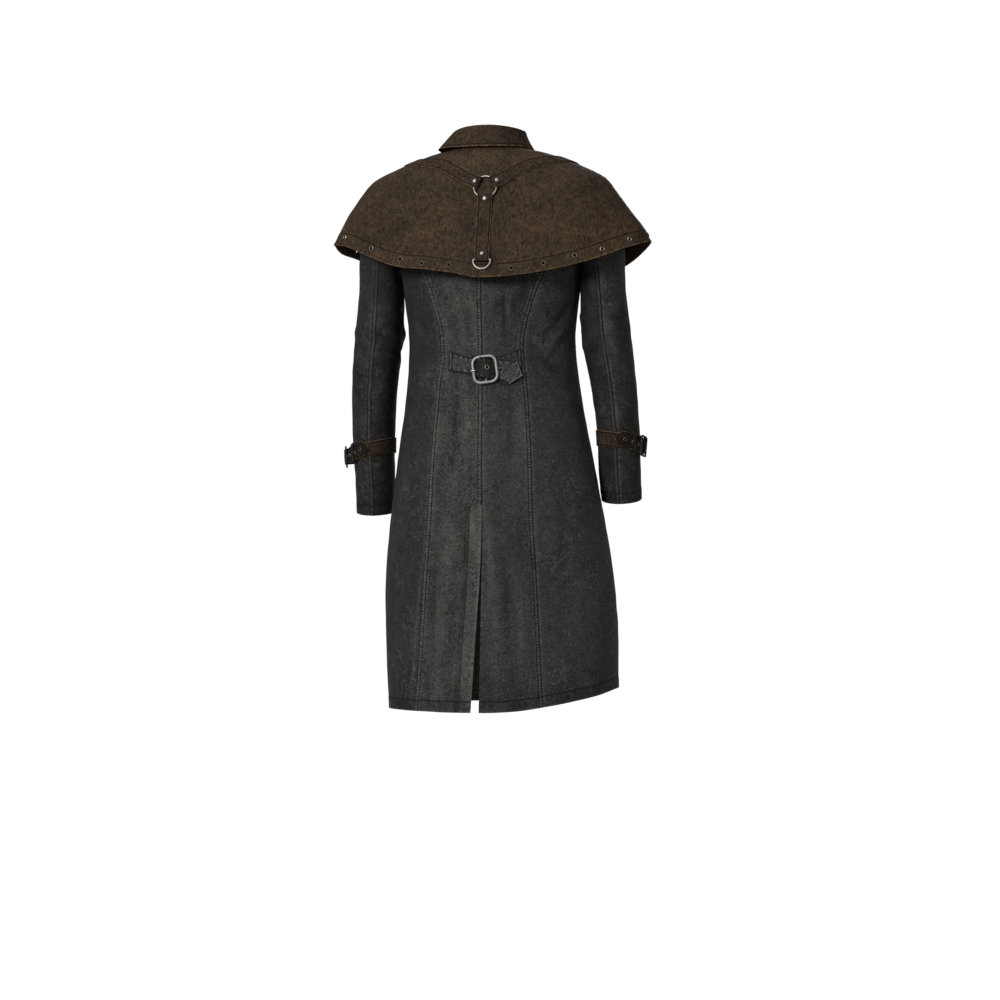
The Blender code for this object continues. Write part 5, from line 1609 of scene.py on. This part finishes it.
strap = {
    "wall": 1.6,
    "laid": 0.6,
    "clear": 0.8,
    "shoulderWidth": 25.0,
    "centreWidth": 28.0,
    "under": 24.0,
    # angle round the cape and ring number down it
    "left": ((87.4, 1.95), (72, 1.58), (54, 1.34), (28, 1.45), (0, 1.62), (-28, 2.05), (-50, 2.9)),
    "right": ((98.3, 1.97), (113, 1.64), (130, 1.44), (154, 1.44), (180, 1.56), (208, 2.05), (230, 2.9)),
    "centre": ((92.7, 2.64), (92.2, 4.0), (91.9, 5.3), (91.8, 6.55)),
    "ringAt": (92.8, 2.16),
    "ringAcross": 47.0,
    "ringWire": 3.4,
    "dInside": 29.4,
    "dDrop": 16.0,
    "dWire": 3.6,
    "dLean": -2.0,
    "rivetAcross": 8.4,
    "rivetHigh": 1.8,
    # the rivet's profile as shares of its radius and height
    "rivet": ((0.55, -0.5), (0.93, 0.0), (1.0, 0.10), (0.99, 0.30), (0.90, 0.56), (0.70, 0.80), (0.42, 0.95),
              (0.12, 1.0)),
    "rivetSeat": 0.15,
    # each rivet's strap and its distance from the strap's start, or from its end where that is below 0
    "rivets": (
        ("left", "left", 7.0), ("right", "right", 9.0), ("top", "centre", 7.5), ("low", "centre", -12.0),
    ),
    "crossRows": (9.0, 12.8),
}
strapCloth = capeCloth("brown_strap_twill", edgeRows=(stripRow,), wornEdge=1.6, shade=-0.04)
ringRadius = (strap["ringAcross"] - strap["ringWire"]) / 2
overStrap = strap["laid"] + strap["wall"] + strap["clear"]
wireOff, dOff = overStrap + strap["ringWire"] / 2, overStrap + strap["dWire"] / 2
ringOff = facing(plainCape, *(np.array(value) for value in strap["ringAt"]))
ringCentre = plainCape(*strap["ringAt"]) + wireOff * ringOff
ringSide = unit(np.cross(np.array([0.0, 0.0, 1.0]), ringOff))
ringUp = np.cross(ringOff, ringSide)


def ringShift(lane):
    # where the ring's wire really lies, against the start of the strip, at each place across
    start, forward, _, offIt = lane.frame(0.0)
    flatForward = unit(forward - ringOff * forward.dot(ringOff))
    flatAside = np.cross(ringOff, flatForward)
    beside = (start - ringCentre).dot(flatAside)

    def shift(across, along):
        reach = np.sqrt(np.maximum(ringRadius**2 - (across + beside) ** 2, 1.0))
        reach = reach + 0.8 * (reach.min() - reach)
        wire = ringCentre + reach[..., None] * flatForward + (across + beside)[..., None] * flatAside
        away = wire - lane.points(0.0, across, 0.0)
        fade = 1.0 - smooth(10, 30, along)
        return (away @ forward) * fade, (away @ offIt - wireOff) * fade
    return shift


straps = {}
inWire, inD = (strap[word] / 2 + strap["clear"] for word in ("ringWire", "dWire"))
for word, seed in (("left", 2.0), ("right", 3.1), ("centre", 4.4)):
    lane = Lane(capePoint, strap[word])
    width = strap["centreWidth" if word == "centre" else "shoulderWidth"]
    topLength = lane.length / 2 if word == "centre" else lane.length
    line = foldLine(wireOff, inWire, strap["wall"], strap["under"], topLength)
    if word == "centre":
        foot = foldLine(dOff, inD, strap["wall"], strap["under"], topLength)
        line = line[:-1] + [(lane.length - along, off) for along, off in reversed(foot)]
    straps[word] = strip("strap_" + word, lane, line, width, strap["wall"], strapCloth, "strap_twill",
                         capeSewing, shift=ringShift(lane), seed=seed)


def runOf(grid, along):
    # the run of a strip's outside at a place along its way
    outside = grid["beside"][:, 1] > 0.5
    gap = np.where(outside, abs(grid["middle"][:, 0] - along), 1e9)
    return grid["run"][int(np.argmin(gap))]


for near in strap["crossRows"]:
    sewOver(capeSewing, straps["centre"], runOf(straps["centre"], near))
    sewOver(capeSewing, straps["centre"], runOf(straps["centre"], lane.length - near))

turns = np.linspace(0, 2 * math.pi, 96, endpoint=False)
path = [ringCentre + ringRadius * (math.cos(t) * ringSide + math.sin(t) * ringUp) for t in turns]
loosePiece("o_ring_metal", *sweep(path, ringOff, strap["ringWire"], strap["ringWire"], True, square=2.0),
           silver, "steel", "o_ring")
lane = Lane(plainCape, strap["centre"])
bar, forward, aside, offIt = lane.frame(lane.length)
bar = bar + dOff * offIt
lean = math.radians(strap["dLean"])
hang = math.cos(lean) * forward - math.sin(lean) * offIt
half = (strap["dInside"] + strap["dWire"]) / 2
outline = [(x, 0.0) for x in np.linspace(-half, half, 15)[1:-1]]
for turn in np.radians(np.linspace(-8, 188, 45)):
    outline.append((half * math.cos(turn), max(0.35, 2.5 + strap["dDrop"] * math.sin(turn))))
path = [bar + x * aside + y * hang for x, y in outline]
wire = sweep(path, np.cross(aside, hang), strap["dWire"], strap["dWire"], True, square=2.0)
loosePiece("d_ring_metal", *wire, silver, "steel", "d_ring", body="d_ring")
profile = [(strap["rivetAcross"] / 2 * r, strap["rivetHigh"] * h + strap["rivetSeat"])
           for r, h in strap["rivet"]]
for word, grid, along in strap["rivets"]:
    run = runOf(straps[grid], along if along > 0 else lane.length + along)
    loosePiece("rivet_%s_metal" % word, *turnedMesh(profile, *onStrip(straps[grid], run), capped=True),
               silver, "steel", "rivet_" + word)
print("coat: straps and rings on the cape")


# back belt and its buckle

belt = {
    "wall": 1.6,
    "wide": 37.0,
    "tip": 17.0,
    # places across the back and heights of the middle line
    "left": ((77, -394), (34, -406), (-9, -414), (-44, -418), (-77, -428)),
    "right": ((-9, -413), (-46, -405), (-82, -391)),
    "fromSeam": 87.3,
    "heights": (
        (34, 1.6), (23.5, 2.9), (16, 4.1), (12, 7.0), (8, 10.4), (4, 12.8), (0, 13.6), (-4, 12.8), (-8, 10.4),
        (-12, 7.4), (-16, 4.8), (-23.5, 4.2), (-34, 3.9), (-46, 4.0),
    ),
    "buckleWide": 51.0,
    "buckleHigh": 55.5,
    "bar": 6.0,
    "corner": 13.0,
    "turn": 8.0,
    "drop": 3.4,
    "off": 8.0,
    "barThick": 5.2,
    "barSides": 18,
    "centreBar": 4.4,
    "prong": 3.2,
    "eyelets": ((4.6, 2.0), (29.0, 0.0)),
    "eyelet": {"hole": 2.8, "across": 4.6},
    "punch": 3.2,
    "leftSlant": -0.27,
    "rightSlant": 0.38,
    "leftFrom": 15.0,
    "rightShort": 6.0,
    # dark rows painted beside the edges and at the ends: painted shadow along the belt's edges and its stitch
    # line
    "rows": (0.0, 1.2, 2.2),
    "endRows": (0.2, 1.2),
    "look": {"streak": 0.10, "crinkle": 0.20, "wornEdge": 3.0, "pitch": 0.0105, "ladder": (5.8, 3.2)},
    # how far each belt strap is darkened: painted shade, most on the right strap under the buckle
    "deep": (0.12, 0.50),
}


def bodyRoute(places):
    rows = []
    for x, z in places:
        number = float(numberAt(z, sideHeights))
        half = rowsAt(coat["rings"], np.array(number))[0 if x >= 0 else 1]
        rows.append((math.degrees(math.acos(x / half)), number))
    return rows


beltLanes = {word: Lane(coatPoint, bodyRoute(belt[word])) for word in ("left", "right")}
start, _, _, buckleOff = Lane(plainCoat, bodyRoute(belt["right"])).frame(0.0)
flat = unit(np.cross(np.array([0.0, 0.0, 1.0]), buckleOff))
up = np.cross(buckleOff, flat)
turn = math.radians(belt["turn"])
buckleAlong = math.cos(turn) * flat + math.sin(turn) * up
buckleAcross = np.cross(buckleOff, buckleAlong)
buckleCentre = start + belt["off"] * buckleOff - belt["drop"] * up


def barShift(lane, at):
    # the strips bend along the buckle's middle bar, which stands at a slant to them
    ahead, beside, offIt = lane.frame(at)[1:]

    def shift(across, along):
        bar = buckleCentre + (across / buckleAcross.dot(beside))[..., None] * buckleAcross
        away = bar - lane.points(at, across, 0.0)
        fade = 1.0 - smooth(30, 52, abs(along - at))
        return (away @ ahead) * fade, (away @ offIt - belt["off"]) * fade
    return shift


beltCloth, underCloth = (coatCloth(belt["rows"], belt["rows"], belt["endRows"], deep=deep, **belt["look"])
                         for deep in belt["deep"])
lane = beltLanes["left"]
beltEnd, seam = lane.length, belt["fromSeam"]
line = [(belt["leftFrom"], 2.6), (24, 2.6), (40, 2.0)]
line += [(seam - away, high) for away, high in belt["heights"]]
line += [(beltEnd - 17, 6.0), (beltEnd - 8, 8.4), (beltEnd, 9.6)]
beltMiddle = evenLine(line)
beltRun = arcs(beltMiddle, 0)


def beltTip(along):
    flare = 1 - 0.12 * bump((along - 54) / 18) + 0.09 * smooth(58, 74, along)
    flare = flare + 0.12 * smooth(beltEnd - 46, beltEnd - 16, along)
    return np.clip((beltEnd - along) / belt["tip"], 0.06, 1.0) * flare


def slanted(shift, at, slope):
    # a shift with the strip's end at a place along it cut at a slant
    def both(across, along):
        more = shift(across, along)
        return more[0] + slope * across * (1 - smooth(0, 30, abs(along - at))), more[1]
    return both


punched = [(float(np.interp(seam + past, beltMiddle[:, 0], beltRun)), across)
           for past, across in belt["eyelets"]]
beltLeft = strip("belt_left", lane, line, belt["wide"], belt["wall"], beltCloth, "coat_twill", coatSewing,
                 shift=slanted(barShift(lane, seam), belt["leftFrom"], belt["leftSlant"]), tip=beltTip,
                 punched=punched, punch=belt["punch"], seed=5.2, wornFrom=beltEnd - 19,
                 shades=((seam - 19, seam + 19, 0.8),))
beltEyelets = Gathered()
for run, across in punched:
    eyeletOn(beltEyelets, *onStrip(beltLeft, run, across), **belt["eyelet"])
beltEyelets.piece("belt_eyelets_metal", buckleMetal)
lane = beltLanes["right"]
radius = belt["centreBar"] / 2 + 0.5 + belt["wall"] / 2
end = lane.length - belt["rightShort"]
line = [(11.0, 5.2), (7, 8.2)]
for swing in np.radians(np.linspace(75, 285, 13)):
    line.append((radius * math.cos(swing), belt["off"] + radius * math.sin(swing)))
line += [(7.5, 2.7), (14, 1.5), (26, 1.4), (42, 1.4), (58, 1.4), (end, 1.4)]
beltRight = strip("belt_right", lane, line[::-1], belt["wide"] - 3, belt["wall"], underCloth, "coat_twill",
                  coatSewing, shift=slanted(barShift(lane, 0.0), end, belt["rightSlant"]), seed=6.3,
                  wornFrom=999.0)
buckleOn("belt_buckle_metal", "belt_buckle", buckleMetal, belt, buckleCentre, buckleAlong, buckleAcross,
         buckleOff)
rise = belt["bar"] / 2 + 0.3 + belt["prong"] / 2
toward = -buckleAlong if buckleAlong[0] < 0 else buckleAlong
line = ((17.5, rise + 0.8), (20, rise + 0.5), (23, rise), (26, rise - 0.4), (27.4, rise - 1.4))
path = [buckleCentre + a * toward + h * buckleOff for a, h in evenLine(line, 0.8)]
prong = sweep(path, np.cross(toward, buckleOff), belt["prong"], belt["prong"], False, square=2.0, ends=0.55)
loosePiece("belt_prong_metal", *prong, silver, "steel", "belt_prong")
print("coat: back belt buckled")


# sleeve straps

cuff = {
    "left": (-562, 9.0),
    "right": (-546, 5.0),
    "bandWide": 29.0,
    "bandOff": 1.0,
    "wall": 1.6,
    "tabFrom": -52.0,
    "tabBend": -20.0,
    "tabBuckle": 14.0,
    "stand": {"left": 7.0, "right": 2.5},
    "tabKeeper": 42.0,
    "tabTo": 88.0,
    "keeperWide": 7.5,
    "bumps": (
        (-13, 4.6), (-10, 5.9), (-7, 8.6), (-3.5, 11.0), (0, 11.6), (3.5, 11.0), (7, 8.6), (10, 5.9),
        (13, 4.6),
    ),
    "buckleWide": 32.0,
    "buckleHigh": 41.0,
    "bar": 4.0,
    "barThick": 3.6,
    "barSides": 14,
    "centreBar": 3.2,
    "corner": 4.0,
    "off": 7.8,
    "eyeletsFromTip": (16.5, 34.0, 51.0),
    "eyelet": {"hole": 2.3, "across": 3.7},
    "punch": 2.9,
    "columns": 132,
    "standReach": 26.0,
    "keeperReach": 24.0,
    "keeperWall": 1.2,
    "keeperDeep": 0.72,
    "tabRise": ((-52, -5.0), (6, -7.0), (42, 0.5), (88, 7.5)),
}
bandCloth = capeCloth("brown_band_twill", edgeRows=(stripRow,), wornEdge=1.2, shade=-0.06, rusty=0.7)
tabCloth = capeCloth("brown_tab_twill", edgeRows=(stripRow,), wornEdge=1.2, shade=-0.42, rusty=0.08)
cuffSheets = {}
tabEyelets = Gathered()
for word, sign in (("left", 1.0), ("right", -1.0)):
    surface = sleeveSurfaces[word]
    middleZ, tilt = cuff[word]
    stand = cuff["stand"][word]
    heights = np.array([row[0] for row in sleeves[word]], float)

    # the band round the sleeve
    swing = np.linspace(0, 360, cuff["columns"], endpoint=False)
    half = cuff["bandWide"] / 2
    right = np.concatenate([half - stripEdge, np.linspace(half - stripEdge[-1], 0, 5)[1:]])
    place = np.concatenate([-right, right[-2::-1]])[:, None]
    number = 1 + numberAt(middleZ - tilt * np.cos(np.radians(swing))[None] - place, heights)
    angle = np.broadcast_to(swing, number.shape)
    points, off = surface(angle, number), facing(surface, angle, number, sign)
    fromSide = half - abs(place)
    run = arcs(np.concatenate([points, points[:, :1]], axis=1), 1)[:, :-1]
    wave = ripple(run, 1.7 if word == "left" else 2.9, 15.0) * bump((fromSide - 3) / 5)
    thick = roundedWall(cuff["wall"], fromSide)
    lift = 0.25 * wave - 0.3 * bump((fromSide - stripRow) / 0.7)
    centreOff = cuff["bandOff"] + cuff["wall"] / 2
    outer = points + off * (centreOff + thick / 2 + lift)[..., None]
    inner = points + off * (centreOff - thick / 2)[..., None]
    uv = np.stack([run, np.broadcast_to(place, run.shape)], axis=-1)
    marks = {"fromEdge": fromSide, "rubAndShading": 0.45 * wave}
    node = "sleeve_band_" + word
    band = gridPiece(node + "_cloth", outer, inner, uv, marks, off, closed=True)
    cuffSheets[node] = settle(band, bandCloth, "strap_twill", node)
    for side in (1, -1):
        k = int(np.argmin(abs(place[:, 0] - side * (half - stripRow))))
        capeSewing.row(outer[k], off[k], **fineStitch)

    # the tab over it, with its buckle
    rows = []
    for at in (cuff[key] for key in ("tabFrom", "tabBend", "tabBuckle", "tabKeeper", "tabTo")):
        z = middleZ - tilt * math.cos(math.radians(at)) + np.interp(at, *np.transpose(cuff["tabRise"]))
        rows.append((at, float(1 + numberAt(z, heights))))
    lane = Lane(surface, rows, sign)
    tabEnd = lane.length
    atBuckle, atKeeper = (float(np.interp(cuff[key], lane.route[:, 0], lane.at))
                          for key in ("tabBuckle", "tabKeeper"))
    low = cuff["bandOff"] + cuff["wall"] * 1.5 + 0.6
    line = [(at, low) for at in np.arange(0, atBuckle - 16, 7)]
    line += [(atBuckle + away, high) for away, high in cuff["bumps"]]
    line += [(at, low) for at in np.linspace(atBuckle + 18, tabEnd, 8)]
    line = [(at, high + stand * bump((at - atBuckle) / cuff["standReach"])) for at, high in line]

    def tabTip(at):
        return np.clip(0.42 + (tabEnd - at) / 17, 0.42, 1.0)

    tabRun = arcs(evenLine(line), 0)[-1]
    punched = [(tabRun - away, 0.0) for away in cuff["eyeletsFromTip"]]
    node = "sleeve_tab_" + word
    tab = strip(node, lane, line, cuff["bandWide"], cuff["wall"], tabCloth, "strap_twill", capeSewing,
                tip=tabTip, punched=punched, punch=cuff["punch"], seed=7.0)
    cuffSheets[node] = tab["piece"]
    for run, across in punched:
        eyeletOn(tabEyelets, *onStrip(tab, run, across), **cuff["eyelet"])
    plainLane = Lane(plainSleeve(word), rows, sign)
    buckleRun = float(np.interp(cuff["tabBuckle"], plainLane.route[:, 0], plainLane.at))
    start, forward, aside, offIt = plainLane.frame(buckleRun)
    buckleOn("sleeve_buckle_%s_metal" % word, "sleeve_buckle_" + word, darkMetal, cuff,
             start + (cuff["off"] + stand) * offIt, forward, aside, offIt)

    # the keeper loop that holds the tab
    middle = lane.frame(atKeeper)[0][2]
    head, base = (float(1 + numberAt(middle + side * cuff["keeperReach"], heights)) for side in (1, -1))
    lane = Lane(surface, [(cuff["tabKeeper"], number) for number in (head, (head + base) / 2, base)], sign)
    half = lane.length / 2
    over = low + cuff["wall"] / 2 + 1.5 + stand * float(bump((atKeeper - atBuckle) / cuff["standReach"]))
    climb = ((23, 1.6), (20.6, 2.6), (19, over * 0.75), (16.5, over))
    line = [(half - away, high) for away, high in climb] + [(half, over)]
    line += [(half + away, high) for away, high in climb[::-1]]
    node = "sleeve_keeper_" + word
    cloth = coatCloth(deep=cuff["keeperDeep"])
    keeper = strip(node, lane, line, cuff["keeperWide"], cuff["keeperWall"], cloth, "coat_twill", coatSewing,
                   row=None, seed=8.0, step=1.2, softness=0.9)
    cuffSheets[node] = keeper["piece"]
tabEyelets.piece("tab_eyelets_metal", tabMetal)
capeEyelets.piece("cape_eyelets_metal", eyeletMetal)
# the barrels are near black, painted shade inside the eyelet holes
barrels.piece("eyelet_barrels_metal", holeShadeMetal)
print("coat: sleeve straps fastened")


# front buttons

button = {
    "across": 24.0,
    "thick": 4.0,
    "off": 0.6,
    "sides": 40,
    "heights": (-300, -395, -490, -585, -680),
    # shares of the radius and of the thickness
    "profile": (
        (0.86, -0.02), (0.97, 0.10), (1.0, 0.32), (1.0, 0.62), (0.97, 0.86), (0.90, 0.98), (0.82, 0.97),
        (0.74, 0.84), (0.62, 0.72), (0.30, 0.68), (0.05, 0.67),
    ),
    "threadAt": 0.70,
    "threadAside": 1.6,
    "threadReach": 2.3,
    "thread": {"pitch": 3.4, "length": 3.2, "wide": 1.1, "high": 0.8},
}
frontHeights = [row[7] for row in coat["rings"]]
profile = [(button["across"] / 2 * r, button["off"] + button["thick"] * h) for r, h in button["profile"]]
for count, z in enumerate(button["heights"], start=1):
    at = np.array(-90.0), np.array(numberAt(z, frontHeights))
    centre, off = plainCoat(*at), facing(plainCoat, *at)
    disc = turnedMesh(profile, centre, off, sides=button["sides"], capped=True)
    loosePiece("button_%d_horn" % count, *disc, horn, "button", "button_%d" % count)
    side = unit(np.cross(off, np.array([0.0, 0.0, 1.0])))
    reach = button["threadReach"] * np.cross(side, off)
    top = centre + off * (button["off"] + button["thick"] * button["threadAt"])
    for middle in (top - button["threadAside"] * side, top + button["threadAside"] * side):
        coatSewing.row(np.array([middle - reach, middle + reach]), np.array([off, off]), **button["thread"])
coatSewing.piece("coat_stitching", blackThread, "coat_twill")
capeSewing.piece("cape_stitching", brownThread, "cape_twill")
print("coat: buttons sewn on")


# the cut of each cloth piece

def cutOf(piece, held, restsOn):
    mesh = piece.data
    area = np.zeros(len(mesh.polygons))
    mesh.polygons.foreach_get("area", area)
    corners = np.zeros(2 * len(mesh.loops), np.float32)
    mesh.uv_layers["cut"].data.foreach_get("uv", corners)
    width, length = (max(0.010, float(np.ptp(corners[k::2]))) for k in (0, 1))
    share = float(np.clip(area.sum() / 2 / (width * length), 0.31, 1.0))


for name, grid in coatSheets.items():
    cutOf(grid["piece"], "hung",
          ["side_back_%s_cloth" % name.split("_")[-1]] if "sleeve" in name else ["collar_stand_cloth"])
for name, grid in capeSheets.items():
    cutOf(grid["piece"], "folded" if "collar" in name else "draped",
          ["cape_back_cloth"] if "collar" in name else ["back_left_cloth", "back_right_cloth"])
for grid in straps.values():
    cutOf(grid["piece"], "laid", ["cape_back_cloth"])
for grid in (beltLeft, beltRight):
    cutOf(grid["piece"], "laid", ["back_left_cloth", "back_right_cloth"])
for name, piece in cuffSheets.items():
    cutOf(piece, "laid", ["topsleeve_left_cloth" if "left" in name else "topsleeve_right_cloth"])


# floor, light and camera

studio = {
    "floorDepth": -1.609,
    "camera": (-0.9705, 5.4138, -0.663),
    "target": (-0.0154, -0.0027, -0.663),
    "lens": 101.54,
    # strength behind the part and all round it
    "world": (1.03, 0.40),
    # where along y the strength fades from one to the other
    "worldFade": (-0.82, -0.30),
    # place, watts, size
    "lights": (
        ((2.1, 5.0, 1.2), 960.0, 1.7), ((0.2, 1.4, 2.7), 140.0, 2.0), ((-3.8, 2.6, 0.2), 100.0, 1.8),
        ((0.4, -5.2, 1.4), 150.0, 2.6),
    ),
    "floorReach": 2.6,
    "floorColour": (0.86, 0.86, 0.86, 1),
}


def aim(thing, place):
    # set at a place, looking at the coat
    thing.location = place
    thing.rotation_euler = (Vector(studio["target"]) - Vector(place)).to_track_quat("-Z", "Y").to_euler()
    bpy.context.scene.collection.objects.link(thing)


turns = np.linspace(0, 2 * math.pi, 48, endpoint=False)
floor = bpy.data.meshes.new("floor")
reach = studio["floorReach"]
floor.from_pydata([(reach * math.cos(t), reach * math.sin(t), studio["floorDepth"]) for t in turns], [],
                  [list(range(len(turns)))])
floor = addPiece("floor", floor)
pale = Finish("pale_floor", 0.95, shine=0.0)
pale.put("Base Color", studio["floorColour"])
level = pale.stretched((1.0, 1.0, 0.0))
away = pale.node("ShaderNodeVectorMath", {"operation": "LENGTH"}, {0: level}, out="Value")
pale.put("Alpha", ((1.0 - away / reach) * 1.6).clip() ** 1.5)
floor.data.materials.append(pale.material)
world = bpy.data.worlds.new("soft_white")
world.use_nodes = True
sky, back = world.node_tree, world.node_tree.nodes["Background"]
way = sky.nodes.new("ShaderNodeSeparateXYZ")
sky.links.new(sky.nodes.new("ShaderNodeTexCoord").outputs["Generated"], way.inputs[0])
fade = sky.nodes.new("ShaderNodeMapRange")
for word, value in zip(("From Min", "From Max", "To Min", "To Max"), studio["worldFade"] + studio["world"]):
    fade.inputs[word].default_value = value
sky.links.new(way.outputs["Y"], fade.inputs["Value"])
back.inputs["Color"].default_value = (1, 1, 1, 1)
sky.links.new(fade.outputs["Result"], back.inputs["Strength"])
bpy.context.scene.world = world
for count, (place, watts, size) in enumerate(studio["lights"], start=1):
    lamp = bpy.data.lights.new("soft_light_%d" % count, "AREA")
    lamp.shape, lamp.size, lamp.energy = "DISK", size, watts
    aim(bpy.data.objects.new(lamp.name, lamp), place)
camera = bpy.data.objects.new("camera", bpy.data.cameras.new("camera"))
camera.data.lens, camera.data.sensor_width = studio["lens"], 36.0
camera.data.clip_end = 60.0
aim(camera, studio["camera"])
bpy.context.scene.camera = camera
bpy.context.scene.view_settings.view_transform = "Standard"
print("coat: set out and lit")
